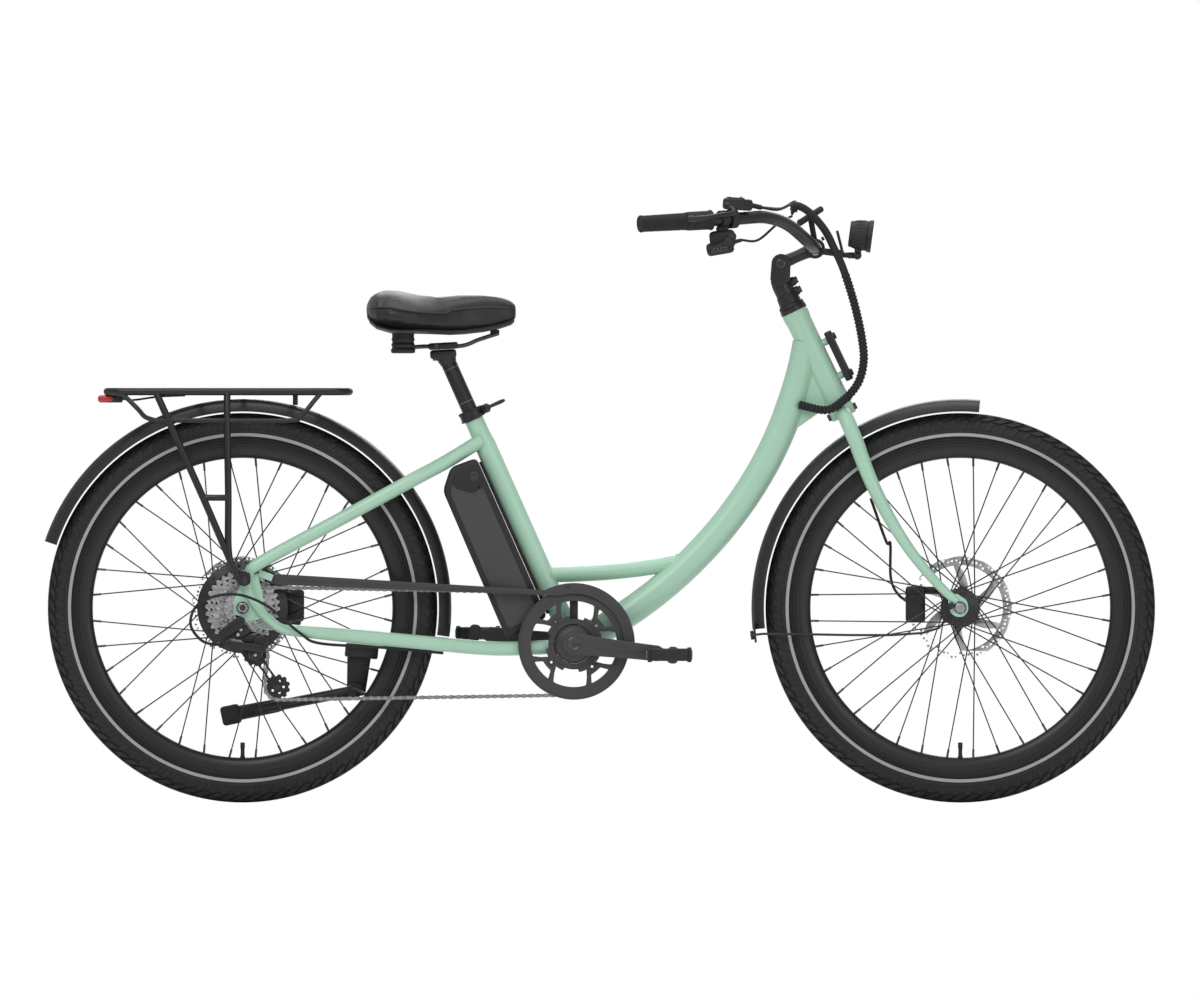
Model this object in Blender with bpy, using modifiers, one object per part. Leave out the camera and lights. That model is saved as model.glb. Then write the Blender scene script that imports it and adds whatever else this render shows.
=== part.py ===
"""Step-through electric bicycle, modelled as an assembly of separate solids.

+X is forwards, +Y is the rider's left, +Z is up. The origin lies on the ground under the middle of
the bicycle's length. All lengths are in metres and all angles in degrees.
"""
import math

import bmesh
import bpy
from mathutils import Matrix, Vector

# ---------------------------------------------------------------- driving dimensions
GAP = 0.0003                # clearance between pieces that touch
RUNNING_GAP = 0.0006        # radial clearance of a shaft in its bore
PAD_GAP = 0.0018            # brake disc to the caliper's slot

TYRE_RADIUS = 0.340         # 26 x 2.4 inch tyre
TYRE_WIDTH = 0.060
RIM_OUTER = 0.284           # radius of the tyre's seat on the rim
RIM_INNER = 0.262
RIM_WIDTH = 0.032
SPOKES = 36
SPOKE_R = 0.0013
LACING = 58.0               # turn of a spoke's foot from its tip on a small flange

WHEELBASE = 1.2517
FENDER_GAP = 0.016          # tyre tread to the inside of the fender
FENDER_WIDTH = 0.068
FENDER_SHEET = 0.0025
REAR_FENDER_TAIL = 18.6     # angle of the rear fender's end above horizontal

HEAD_ANGLE = 25.5           # steering axis, from vertical
HEAD_LENGTH = 0.176
HEAD_RADIUS = 0.022
FORK_OFFSET = 0.0388        # front axle ahead of the steering axis
CROWN_GAP = 0.056           # tyre to the fork crown, along the steering axis
STEERER_R = 0.0143
AXLE_R = 0.0055
FRONT_DROPOUT = 0.050       # half distance between the fork ends, inside
REAR_DROPOUT = 0.071

BB_DROP = 0.0632            # crank axle below the wheel axles
BB_AHEAD = 0.5777           # crank axle ahead of the rear axle
BB_RADIUS = 0.021
BB_HALF = 0.0365
CRANK_LENGTH = 0.168
CRANK_INNER = 0.0680        # inner face of the crank arms
SPINDLE_R = 0.0105
CRANK_ANGLE = -6.4          # right crank, from forwards, at rest
PEDAL_INNER = 0.092
PEDAL_LENGTH = 0.092

SEAT_ANGLE = 24.0           # seat tube, from vertical
SEAT_TUBE = 0.4285          # crank axle to the top of the seat tube
SEAT_TUBE_R = 0.0165
SEATPOST_R = 0.0136
POST_DEPTH = 0.170          # bottom of the seat tube's bore, up from the crank axle
SEATPOST_TOP = 0.560        # crank axle to the saddle clamp, along the tube
SADDLE_LENGTH = 0.264
SADDLE_WIDTH = 0.236

DOWN_TUBE_R = 0.025
STAY_R = 0.012
CHAINSTAY_R = 0.0125
STAY_SPREAD = 0.058         # stays beside the rear wheel, from the middle

BAR_HALF = 0.345            # handlebar half width to the grip's end
BAR_RADIUS = 0.0111
GRIP_RADIUS = 0.0155

RING_TEETH = 44
COG_TEETH = 18
PULLEY_TEETH = 11
CHAIN_PITCH = 0.0127
CHAIN_Y = -0.050
CASSETTE = (32, 28, 24, 21, 18, 15, 13, 11)
COG_STEP = 0.0045           # spacing of the sprockets

DRUM_RADIUS = 0.079         # hub motor
DRUM_HALF = 0.027
ROTOR_RADIUS = 0.090
ROTOR_SHEET = 0.0018
ROTOR_SEAT = 0.0195         # boss that centres the brake disc
ROTOR_Y = 0.0405            # outer face of the brake discs
CALIPER_Y = 0.0432          # middle of the calipers, astride the brake discs
CALIPER_HALF = 0.0130

RACK_LENGTH = 0.424
RACK_HALF = 0.066
RACK_TOP = 0.384            # deck above the rear axle
RACK_BACK = -0.238          # deck's rear end, from the rear axle
RACK_TUBE = 0.0055
RACK_STRUT = 0.092          # strut from the deck to the fender, ahead of the rear axle
STAY_BOLT = (-0.0160, 0.0035)   # fender stay's bolt, from the front axle
BATTERY_HALF = 0.043

# ---------------------------------------------------------------- reference points
# The object spans from the rear fender's tail to the front tyre, and the origin is at its middle.
FENDER_R = TYRE_RADIUS + FENDER_GAP + FENDER_SHEET + 0.0055
TAIL_REACH = FENDER_R * math.cos(math.radians(REAR_FENDER_TAIL))
REAR = Vector(((TAIL_REACH - WHEELBASE - TYRE_RADIUS) / 2, 0, TYRE_RADIUS))
FRONT = REAR + Vector((WHEELBASE, 0, 0))
CRANK = REAR + Vector((BB_AHEAD, 0, -BB_DROP))


def direction(angle):
    """Unit vector in the bicycle's plane, angle measured from +X towards +Z."""
    return Vector((math.cos(math.radians(angle)), 0, math.sin(math.radians(angle))))


SIDE = Vector((0, 1, 0))
STEER_UP = direction(90 + HEAD_ANGLE)
STEER_FORWARD = direction(HEAD_ANGLE)
FORK_LENGTH = math.sqrt((TYRE_RADIUS + FENDER_GAP + CROWN_GAP) ** 2 - FORK_OFFSET ** 2)
HEAD_TOP = FRONT - STEER_FORWARD * FORK_OFFSET + STEER_UP * (FORK_LENGTH + HEAD_LENGTH + 0.004)
SEAT_UP = direction(90 + SEAT_ANGLE)
SEAT_BACK = direction(180 + SEAT_ANGLE)


def steer(up, forward, y=0.0):
    """Point in the steering frame: up the steering axis from the head tube's top."""
    return HEAD_TOP + STEER_UP * up + STEER_FORWARD * forward + SIDE * y


def seat(up, back, y=0.0):
    """Point in the seat tube's frame: up the tube from the crank axle."""
    return CRANK + SEAT_UP * up + SEAT_BACK * back + SIDE * y


def off(origin, x, z, y=0.0):
    return origin + Vector((x, y, z))


def bezier(a, b, c, d, count):
    points = []
    for i in range(count + 1):
        t = i / count
        u = 1 - t
        points.append(a * u ** 3 + b * 3 * u * u * t + c * 3 * u * t * t + d * t ** 3)
    return points


def smooth(points, per_span):
    """Catmull-Rom curve through the points."""
    ends = [points[0] * 2 - points[1]] + points + [points[-1] * 2 - points[-2]]
    curve = []
    for a, b, c, d in zip(ends, ends[1:], ends[2:], ends[3:]):
        for i in range(per_span):
            t = i / per_span
            curve.append((b * 2 + (c - a) * t + (a * 2 - b * 5 + c * 4 - d) * t * t
                          + (b * 3 - a - c * 3 + d) * t ** 3) / 2)
    return curve + [points[-1]]


# ---------------------------------------------------------------- modelling tools
for old in list(bpy.data.objects):
    bpy.data.objects.remove(old, do_unlink=True)

PARTS = bpy.data.collections.new("step_through_bicycle")
bpy.context.scene.collection.children.link(PARTS)
CUTTERS = bpy.data.collections.new("cutters")
bpy.context.scene.collection.children.link(CUTTERS)


def material(name, colour, roughness, metallic=0.0):
    made = bpy.data.materials.new(name)
    made.use_nodes = True
    shader = made.node_tree.nodes["Principled BSDF"]
    shader.inputs["Base Color"].default_value = (*colour, 1)
    shader.inputs["Roughness"].default_value = roughness
    shader.inputs["Metallic"].default_value = metallic
    return made


MINT = material("mint_paint", (0.50, 0.76, 0.62), 0.35)
BLACK = material("black_paint", (0.022, 0.022, 0.023), 0.4)
RUBBER = material("black_rubber", (0.018, 0.018, 0.018), 0.8)
PLASTIC = material("black_plastic", (0.03, 0.03, 0.032), 0.5)
GREY = material("dark_grey_plastic", (0.06, 0.06, 0.065), 0.45)
STEEL = material("bright_steel", (0.62, 0.62, 0.64), 0.3, 1.0)
LEATHER = material("saddle_cover", (0.02, 0.02, 0.02), 0.5)
RED = material("red_lens", (0.6, 0.03, 0.02), 0.2)


def scratch(mesh, name="piece"):
    made = bpy.data.objects.new(name, mesh)
    CUTTERS.objects.link(made)
    return made


def face_out(work):
    bmesh.ops.recalc_face_normals(work, faces=work.faces)
    if work.calc_volume(signed=True) < 0:
        bmesh.ops.reverse_faces(work, faces=work.faces)


def baked(source):
    """Turns a curve, or an object with modifiers, into a plain mesh in world space."""
    graph = bpy.context.evaluated_depsgraph_get()
    mesh = bpy.data.meshes.new_from_object(source.evaluated_get(graph))
    mesh.transform(source.matrix_world)
    bpy.data.objects.remove(source, do_unlink=True)
    work = bmesh.new()
    work.from_mesh(mesh)
    bmesh.ops.remove_doubles(work, verts=work.verts, dist=1e-6)
    bmesh.ops.dissolve_degenerate(work, dist=1e-6, edges=work.edges)
    face_out(work)
    work.to_mesh(mesh)
    work.free()
    return scratch(mesh)


def from_bmesh(work, matrix=None):
    mesh = bpy.data.meshes.new("piece")
    if matrix:
        work.transform(matrix)
    face_out(work)
    work.to_mesh(mesh)
    work.free()
    return scratch(mesh)


def rod(start, end, radius, end_radius=None, sides=10):
    """Cylinder or cone between two points."""
    work = bmesh.new()
    run = end - start
    turn = run.to_track_quat("Z", "Y").to_matrix().to_4x4()
    bmesh.ops.create_cone(work, cap_ends=True, segments=sides, radius1=radius,
                          radius2=radius if end_radius is None else end_radius, depth=run.length)
    return from_bmesh(work, Matrix.Translation((start + end) / 2) @ turn)


def bore_tool(start, end, radius, sides=12):
    """Cutter whose flats, not its corners, stand at the radius."""
    return rod(start, end, radius / math.cos(math.pi / sides), sides=sides)


def block(centre, size, pitch=0.0, bevel=0.0, yaw=0.0):
    """Box whose local X is turned up from +X by the pitch, after a yaw about its own Z."""
    work = bmesh.new()
    bmesh.ops.create_cube(work, size=1)
    work.transform(Matrix.Diagonal((*size, 1)))
    turn = Matrix.Rotation(-math.radians(pitch), 4, "Y") @ Matrix.Rotation(math.radians(yaw), 4, "Z")
    made = from_bmesh(work, Matrix.Translation(centre) @ turn)
    if bevel:
        rounding = made.modifiers.new("rounding", "BEVEL")
        rounding.width = bevel
        rounding.segments = 1
        return baked(made)
    return made


def tube(points, radius, radii=None, resolution=1):
    """Round bar along the points; radii scales the radius at each point."""
    curve = bpy.data.curves.new("tube", "CURVE")
    curve.dimensions = "3D"
    curve.bevel_depth = radius
    curve.bevel_resolution = resolution
    curve.use_fill_caps = True
    spline = curve.splines.new("POLY")
    spline.points.add(len(points) - 1)
    for i, point in enumerate(points):
        spline.points[i].co = (*point, 1)
        if radii:
            spline.points[i].radius = radii[i] / radius
    return baked(scratch(curve))


def plate(outline, low_y, high_y, holes=()):
    """Flat plate in the bicycle's plane; outline and holes are lists of points."""
    curve = bpy.data.curves.new("plate", "CURVE")
    curve.dimensions = "2D"
    curve.fill_mode = "BOTH"
    curve.extrude = (high_y - low_y) / 2
    for loop in (outline, *holes):
        spline = curve.splines.new("POLY")
        spline.use_cyclic_u = True
        spline.points.add(len(loop) - 1)
        for i, point in enumerate(loop):
            spline.points[i].co = (point.x, point.z, 0, 1)
    made = scratch(curve)
    turn = Matrix.Rotation(math.radians(90), 4, "X")
    made.matrix_world = Matrix.Translation((0, (low_y + high_y) / 2, 0)) @ turn
    bpy.context.view_layer.update()
    return baked(made)


def circle(centre, radius, count=16, start=0.0):
    return [centre + direction(start + 360 * i / count) * radius for i in range(count)]


def arc(centre, radius, start, end, count):
    return [centre + direction(start + (end - start) * i / count) * radius for i in range(count + 1)]


def spun(profile, centre, steps=32, closed=False, sweep=360.0, start=0.0, thickness=0.0):
    """Turns (radius, y) points about an axle along +Y; thickness makes a shell of an open sheet."""
    mesh = bpy.data.meshes.new("profile")
    edges = [(i, i + 1) for i in range(len(profile) - 1)]
    if closed:
        edges.append((len(profile) - 1, 0))
    mesh.from_pydata([(radius, 0, y) for radius, y in profile], edges, [])
    made = scratch(mesh)
    screw = made.modifiers.new("turned", "SCREW")
    screw.angle = math.radians(sweep)
    screw.steps = steps
    screw.render_steps = steps
    screw.use_merge_vertices = sweep == 360
    screw.merge_threshold = 1e-5
    if thickness:
        shell = made.modifiers.new("sheet", "SOLIDIFY")
        shell.thickness = thickness
        shell.offset = 0
    turn = Matrix.Rotation(math.radians(-90), 4, "X")
    made.matrix_world = Matrix.Translation(centre) @ Matrix.Rotation(-math.radians(start), 4, "Y") @ turn
    bpy.context.view_layer.update()
    return baked(made)


def combined(base, others, operation):
    for other in others:
        other.hide_render = True
        step = base.modifiers.new(operation, "BOOLEAN")
        step.operation = operation
        step.solver = "EXACT"
        step.object = other
        bpy.context.view_layer.update()
        base = baked(base)
        bpy.data.objects.remove(other, do_unlink=True)
    return base


def joined(*pieces):
    return combined(pieces[0], pieces[1:], "UNION")


def cut(base, *tools):
    return combined(base, tools, "DIFFERENCE")


def hub(name, point):
    """Empty on a joint's axis, which the pieces of that body are parented to."""
    made = bpy.data.objects.new(name, None)
    made.empty_display_size = 0.03
    made.location = point
    PARTS.objects.link(made)
    return made


def named(name, solid, paint, axis=None):
    """Gives a finished solid its name and material, and its place under a joint's empty."""
    CUTTERS.objects.unlink(solid)
    PARTS.objects.link(solid)
    solid.name = name
    solid.data.name = name
    solid.data.materials.clear()
    solid.data.materials.append(paint)
    solid.data.shade_smooth()
    solid.data.set_sharp_from_angle(angle=math.radians(35))
    if axis:
        solid.data.transform(Matrix.Translation(-axis.location))
        solid.parent = axis
    return solid


# ---------------------------------------------------------------- frame
DOWN_TANGENT = -97.2
DOWN_HANDLE = 0.228
BB_TANGENT = 26.5
BB_HANDLE = 0.223
STAY_JOIN = 0.386           # seatstays' joint, up the seat tube


def down_tube_points():
    start = steer(-0.055, -0.006)
    end = CRANK + direction(BB_TANGENT) * 0.012
    return bezier(start, start + direction(DOWN_TANGENT) * DOWN_HANDLE,
                  end + direction(BB_TANGENT) * BB_HANDLE, end, 11)


def stay_points(side):
    """Seatstay, rear loop and chainstay of one side, as one bent tube."""
    spread = STAY_SPREAD * side
    dropout = (REAR_DROPOUT + 0.0085) * side
    top = seat(STAY_JOIN + 0.004, 0.004, 0.012 * side)
    return [top,
            off(REAR, 0.352, 0.2530, 0.030 * side),
            off(REAR, 0.290, 0.2195, 0.0500 * side),
            off(REAR, 0.150, 0.1435, spread),
            off(REAR, 0.033, 0.0800, dropout),
            off(REAR, 0.010, 0.0580, dropout),
            off(REAR, 0.010, 0.0300, dropout),
            off(REAR, 0.024, 0.0040, dropout),
            off(REAR, 0.044, -0.0190, dropout),
            off(REAR, 0.070, -0.0370, dropout),
            off(REAR, 0.112, -0.0420, dropout - 0.005 * side),
            off(REAR, 0.200, -0.050, 0.062 * side),
            off(REAR, 0.330, -0.062, 0.052 * side),
            off(REAR, 0.440, -0.071, 0.040 * side),
            off(CRANK, -0.030, -0.005, 0.028 * side)]


def frame():
    down = tube(down_tube_points(), DOWN_TUBE_R, resolution=3)
    head = rod(steer(-HEAD_LENGTH, 0), steer(0, 0), HEAD_RADIUS, sides=12)
    seat_tube = rod(seat(0.009, 0), seat(SEAT_TUBE, 0), SEAT_TUBE_R, sides=12)
    shell = rod(off(CRANK, 0, 0, -BB_HALF), off(CRANK, 0, 0, BB_HALF), BB_RADIUS + 0.001, sides=12)
    bridge_end = down_tube_points()[7]
    bridge_start = seat(0.132, 0)
    bridge = tube(bezier(bridge_start, off(bridge_start, 0.090, 0.001),
                         off(bridge_end, -0.090, -0.022), bridge_end, 5), 0.0135, resolution=2)
    points = down_tube_points()
    gusset = plate([steer(-0.040, 0.005), steer(-HEAD_LENGTH + 0.006, 0), points[3], points[1]], -0.0085, 0.0085)
    radii = [STAY_R] * 3 + [0.0110] + [0.0085] * 6 + [0.0105] + [CHAINSTAY_R] * 4
    stays = [tube(stay_points(side), STAY_R, radii, 2) for side in (-1, 1)]
    seat_bridge = rod(off(REAR, 0.342, 0.2475, -0.034), off(REAR, 0.342, 0.2475, 0.034), 0.007, sides=8)
    chain_bridge = rod(off(REAR, 0.430, -0.070, -0.043), off(REAR, 0.430, -0.070, 0.043), 0.008, sides=8)
    dropouts = []
    for side in (-1, 1):
        inner, outer = sorted((REAR_DROPOUT * side, (REAR_DROPOUT + 0.006) * side))
        outline = [off(REAR, -0.016, 0.014), off(REAR, -0.016, -0.016), off(REAR, 0.004, -0.026),
                   off(REAR, 0.034, -0.020), off(REAR, 0.038, 0.010), off(REAR, 0.026, 0.060),
                   off(REAR, 0.004, 0.055)]
        dropouts.append(plate(outline, inner, outer, [circle(REAR, (AXLE_R + GAP) * 1.04, 12)]))
    body = joined(down, head, seat_tube, shell, bridge, gusset, stays[0], stays[1], seat_bridge,
                  chain_bridge, dropouts[0], dropouts[1])
    steerer_bore = bore_tool(steer(-HEAD_LENGTH - 0.01, 0), steer(0.01, 0), STEERER_R + RUNNING_GAP, sides=12)
    post_bore = bore_tool(seat(POST_DEPTH, 0), seat(SEAT_TUBE + 0.02, 0), SEATPOST_R + GAP, sides=12)
    crank_bore = bore_tool(off(CRANK, 0, 0, -0.06), off(CRANK, 0, 0, 0.06), SPINDLE_R + RUNNING_GAP, sides=12)
    return cut(body, steerer_bore, post_bore, crank_bore)


def seat_clamp():
    ring = rod(seat(SEAT_TUBE + 0.0003, 0), seat(SEAT_TUBE + 0.019, 0), SEAT_TUBE_R + 0.005, sides=12)
    ear = block(seat(SEAT_TUBE + 0.0095, -0.026), (0.014, 0.012, 0.016), SEAT_ANGLE)
    bore = bore_tool(seat(SEAT_TUBE - 0.02, 0), seat(SEAT_TUBE + 0.03, 0), SEATPOST_R + GAP, sides=12)
    return cut(joined(ring, ear), bore)


CLAMP_PIVOT = seat(SEAT_TUBE + 0.0095, -0.029, -0.0125)


def clamp_lever():
    """Quick-release lever: a cam beside the clamp's ear and a blade that lies forwards when shut."""
    cam = rod(CLAMP_PIVOT - SEAT_UP * 0.0055, CLAMP_PIVOT + SEAT_UP * 0.0055, 0.0056, sides=12)
    blade = tube([CLAMP_PIVOT, CLAMP_PIVOT - SEAT_BACK * 0.012 - SIDE * 0.002,
                  CLAMP_PIVOT - SEAT_BACK * 0.034 - SIDE * 0.001], 0.0034)
    return joined(cam, blade)


def seat_post():
    post = rod(seat(0.242, 0), seat(SEATPOST_TOP - 0.006, 0), SEATPOST_R, sides=12)
    head = block(seat(SEATPOST_TOP, 0.0) + Vector((0, 0, -0.006)), (0.046, 0.034, 0.016), 3, 0.003)
    return joined(post, head)


SADDLE_ORIGIN = seat(SEATPOST_TOP, 0.0)


def saddle_rails():
    """Rail loop with the clamp's upper jaw and the two elastomer blocks."""
    base = off(SADDLE_ORIGIN, 0, 0.0073)
    jaw = block(off(base, 0.0, 0.001), (0.052, 0.056, 0.012), 3, 0.003)
    pieces = [jaw]
    for side in (-1, 1):
        pieces.append(tube([off(base, 0.092, 0.022, 0.006 * side), off(base, 0.030, 0.001, 0.021 * side),
                            off(base, -0.036, 0.0, 0.022 * side), off(base, -0.070, -0.004, 0.034 * side)],
                           0.0037))
        pieces.append(rod(off(base, -0.070, -0.012, 0.038 * side), off(base, -0.070, 0.0242, 0.038 * side),
                          0.021, 0.019, sides=12))
    pieces.append(block(off(base, -0.070, -0.008), (0.022, 0.080, 0.006)))
    pieces.append(block(off(base, 0.090, 0.0245), (0.016, 0.018, 0.010)))
    return joined(*pieces)


def saddle():
    """Cushion lofted from sections along its length: rear, waist and nose."""
    base = SADDLE_ORIGIN
    sections = [  # x ahead of the clamp, half width, bottom, top
        (-0.133, 0.052, 0.062, 0.080), (-0.120, 0.100, 0.040, 0.102), (-0.092, 0.118, 0.032, 0.106),
        (-0.052, 0.112, 0.032, 0.096), (-0.012, 0.078, 0.030, 0.093), (0.030, 0.044, 0.030, 0.096),
        (0.070, 0.031, 0.034, 0.100), (0.108, 0.026, 0.042, 0.095), (0.128, 0.015, 0.052, 0.080)]
    work = bmesh.new()
    rings = []
    count = 12
    for x, half, low, high in sections:
        ring = []
        for i in range(count):
            angle = 2 * math.pi * (i + 0.5) / count
            y = half * SADDLE_WIDTH / 0.236 * math.copysign(abs(math.cos(angle)) ** 0.7, math.cos(angle))
            z = (low + high) / 2 + (high - low) / 2 * math.sin(angle)
            ring.append(work.verts.new(off(base, x * SADDLE_LENGTH / 0.264, z, y)))
        rings.append(ring)
    for first, second in zip(rings, rings[1:]):
        for i in range(count):
            j = (i + 1) % count
            work.faces.new((first[i], first[j], second[j], second[i]))
    work.faces.new(rings[0])
    work.faces.new(rings[-1])
    return from_bmesh(work)


# ---------------------------------------------------------------- steering and front end
FORK_TOP = -HEAD_LENGTH - 0.0045


def fork():
    steerer = rod(steer(FORK_TOP - 0.01, 0), steer(-0.004, 0), STEERER_R, sides=12)
    crown = rod(steer(FORK_TOP - 0.022, 0), steer(FORK_TOP, 0), 0.0225, sides=12)
    lower = FORK_LENGTH
    race = rod(steer(FORK_TOP - 0.001, 0), steer(-HEAD_LENGTH - GAP, 0), 0.0215, sides=14)
    pieces = [steerer, crown, race]
    for side in (-1, 1):
        top = steer(FORK_TOP - 0.0135, 0.0, 0.012 * side)
        end = off(FRONT, -0.006, 0.010, (FRONT_DROPOUT + 0.004) * side)
        path = [top, steer(FORK_TOP - 0.020, 0.001, 0.034 * side), steer(FORK_TOP - 0.038, 0.001, 0.0475 * side)]
        path += bezier(steer(FORK_TOP - 0.075, -0.001, 0.0500 * side),
                       steer(FORK_TOP - lower * 0.42, -0.014, 0.0525 * side),
                       steer(FORK_TOP - lower * 0.72, -0.008, 0.0535 * side), end, 6)
        radii = [0.012, 0.0125, 0.0135] + [0.0135 - 0.006 * i / 6 for i in range(7)]
        pieces.append(tube(path, 0.0135, radii, 2))
        low, high = sorted((FRONT_DROPOUT * side, (FRONT_DROPOUT + 0.006) * side))
        pieces.append(plate([off(FRONT, -0.022, 0.012), off(FRONT, -0.013, -0.012), off(FRONT, 0.004, -0.014),
                             off(FRONT, 0.014, -0.004), off(FRONT, 0.012, 0.012), off(FRONT, -0.010, 0.026)],
                            low, high))
    hole = bore_tool(off(FRONT, 0, 0, -0.08), off(FRONT, 0, 0, 0.08), AXLE_R + GAP)
    return cut(joined(*pieces), hole)


def stem_base():
    """Headset cap and stem quill, standing on the fork's steerer over the head tube."""
    cap = rod(steer(GAP, 0), steer(0.016, 0), 0.0225, 0.0215, sides=12)
    cone = rod(steer(0.0155, 0), steer(0.034, 0), 0.0195, 0.0175, sides=12)
    quill = rod(steer(0.033, 0), steer(0.074, 0.006), 0.0175, sides=12)
    ears = [rod(steer(0.0865, 0.0153, y0), steer(0.0865, 0.0153, y0 + 0.007), 0.0165, sides=12)
            for y0 in (-0.0185, 0.0115)]
    neck = block(steer(0.072, 0.008), (0.030, 0.037, 0.012), HEAD_ANGLE)
    knobs = [rod(steer(0.0495, 0.012), steer(0.0495, 0.030), 0.008, sides=10),
             rod(steer(0.0320, 0.010), steer(0.0320, 0.029), 0.008, sides=10)]
    slot = bore_tool(steer(0.0865, 0.0153, -0.0115), steer(0.0865, 0.0153, 0.0115), 0.0200, sides=14)
    return cut(joined(cap, cone, quill, neck, ears[0], ears[1], knobs[0], knobs[1]), slot)


STEM_PIVOT = steer(0.0865, 0.0153)
BAR_CLAMP = steer(0.0846, 0.0798)


def stem_link():
    eye = rod(STEM_PIVOT - SIDE * 0.0108, STEM_PIVOT + SIDE * 0.0108, 0.0165, sides=12)
    arm = rod(STEM_PIVOT, BAR_CLAMP, 0.0100, sides=12)
    clamp = rod(BAR_CLAMP - SIDE * 0.021, BAR_CLAMP + SIDE * 0.021, 0.0175, sides=12)
    bore = bore_tool(BAR_CLAMP - SIDE * 0.04, BAR_CLAMP + SIDE * 0.04, BAR_RADIUS + GAP, sides=12)
    return cut(joined(eye, arm, clamp), bore)


GRIP_END = off(BAR_CLAMP, -0.301, 0.043)
GRIP_START = off(BAR_CLAMP, -0.176, 0.050)
GRIP_INNER_Y = BAR_HALF - 0.048


def bar_side(side):
    """Half of the handlebar's centreline, from the clamp to the end of the grip."""
    bend = smooth([off(BAR_CLAMP, 0, 0, 0.036 * side), off(BAR_CLAMP, -0.012, 0.012, 0.085 * side),
                   off(BAR_CLAMP, -0.048, 0.042, 0.160 * side), off(BAR_CLAMP, -0.086, 0.0545, 0.222 * side),
                   off(BAR_CLAMP, -0.130, 0.0525, 0.265 * side)], 2)
    return bend + [GRIP_START + SIDE * GRIP_INNER_Y * side, GRIP_END + SIDE * (BAR_HALF - 0.004) * side]


def handlebar():
    left = bar_side(1)
    right = bar_side(-1)
    return tube(list(reversed(right)) + left, BAR_RADIUS, resolution=2)


def grip(side):
    start = GRIP_START + SIDE * GRIP_INNER_Y * side
    end = GRIP_END + SIDE * (BAR_HALF - 0.004) * side
    run = (end - start).normalized()
    body = rod(start + run * 0.006, end + run * 0.006, GRIP_RADIUS + 0.001, GRIP_RADIUS - 0.0015, sides=12)
    flange = rod(start + run * 0.004, start + run * 0.009, GRIP_RADIUS + 0.002, sides=12)
    bore = bore_tool(start - run * 0.02, end + run * 0.0004, BAR_RADIUS + GAP, sides=12)
    return cut(joined(body, flange), bore)


def bar_run(side, along):
    """Point on the straight between the handlebar's bend and the grip."""
    start = off(BAR_CLAMP, -0.130, 0.0525, 0.265 * side)
    return start.lerp(GRIP_START + SIDE * GRIP_INNER_Y * side, along)


def brake_perch(side):
    centre = bar_run(side, 0.32)
    run = (bar_run(side, 1) - bar_run(side, 0)).normalized()
    ring = rod(centre - run * 0.007, centre + run * 0.007, 0.0165, sides=12)
    body = block(off(centre, 0.010, 0.0252, -0.004 * side), (0.050, 0.020, 0.022), -4, 0.003,
                 yaw=-28 * side)
    outlet = tube([off(centre, 0.020, 0.024, -0.014 * side), off(centre, 0.050, 0.020, -0.045 * side)],
                  0.0045)
    bore = bore_tool(centre - run * 0.03, centre + run * 0.03, BAR_RADIUS + 0.0008)
    return cut(joined(ring, body, outlet), bore)


def lever_pivot(side):
    return off(bar_run(side, 0.32), -0.006, 0.0225, 0.022 * side)


def brake_lever(side):
    pivot = lever_pivot(side)
    eye = rod(pivot - Vector((0, 0, 0.005)), pivot + Vector((0, 0, 0.005)), 0.0068, sides=12)
    start = GRIP_START + SIDE * GRIP_INNER_Y * side
    blade = tube([pivot, off(start, 0.032, 0.013, 0.016 * side), off(start, -0.010, 0.004, 0.050 * side),
                  off(start, -0.046, 0.002, 0.066 * side)], 0.0046)
    return joined(eye, blade)


def shifter():
    centre = bar_run(-1, 0.68)
    run = (bar_run(-1, 1) - bar_run(-1, 0)).normalized()
    ring = rod(centre - run * 0.006, centre + run * 0.006, 0.0155, sides=12)
    pod = block(off(centre, 0.000, -0.0345, 0.004), (0.044, 0.032, 0.030), 6, 0.004)
    neck = block(off(centre, 0.000, -0.0175, 0.0), (0.020, 0.011, 0.010), 6)
    window = block(off(centre, -0.004, -0.050, 0.006), (0.048, 0.026, 0.022), 10, 0.004)
    bore = bore_tool(centre - run * 0.03, centre + run * 0.03, BAR_RADIUS + GAP, sides=12)
    return cut(joined(ring, neck, pod, window), bore)


def shift_pivot():
    return off(bar_run(-1, 0.68), 0.010, -0.038, -0.0125)


def shift_lever():
    pivot = shift_pivot()
    eye = rod(pivot, off(pivot, 0, 0, -0.006), 0.008, sides=12)
    paddle = tube([off(pivot, 0, 0, -0.0047), off(pivot, -0.020, -0.008, -0.0065),
                   off(pivot, -0.034, -0.010, -0.010)], 0.0042)
    return joined(eye, paddle)


def display():
    """Screen on a bracket that reaches over the stem to the bar clamp."""
    ring = rod(BAR_CLAMP + SIDE * 0.0245, BAR_CLAMP + SIDE * 0.0305, 0.0165, sides=12)
    arm = block(off(BAR_CLAMP, -0.004, 0.033, 0.0275), (0.010, 0.006, 0.044), 10)
    slab = block(off(BAR_CLAMP, -0.008, 0.0565, 0.0), (0.053, 0.066, 0.011), 33, 0.003)
    bore = bore_tool(BAR_CLAMP, BAR_CLAMP + SIDE * 0.05, BAR_RADIUS + GAP, sides=12)
    return cut(joined(ring, arm, slab), bore)


LAMP_PIVOT = off(BAR_CLAMP, 0.074, -0.012)


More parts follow.
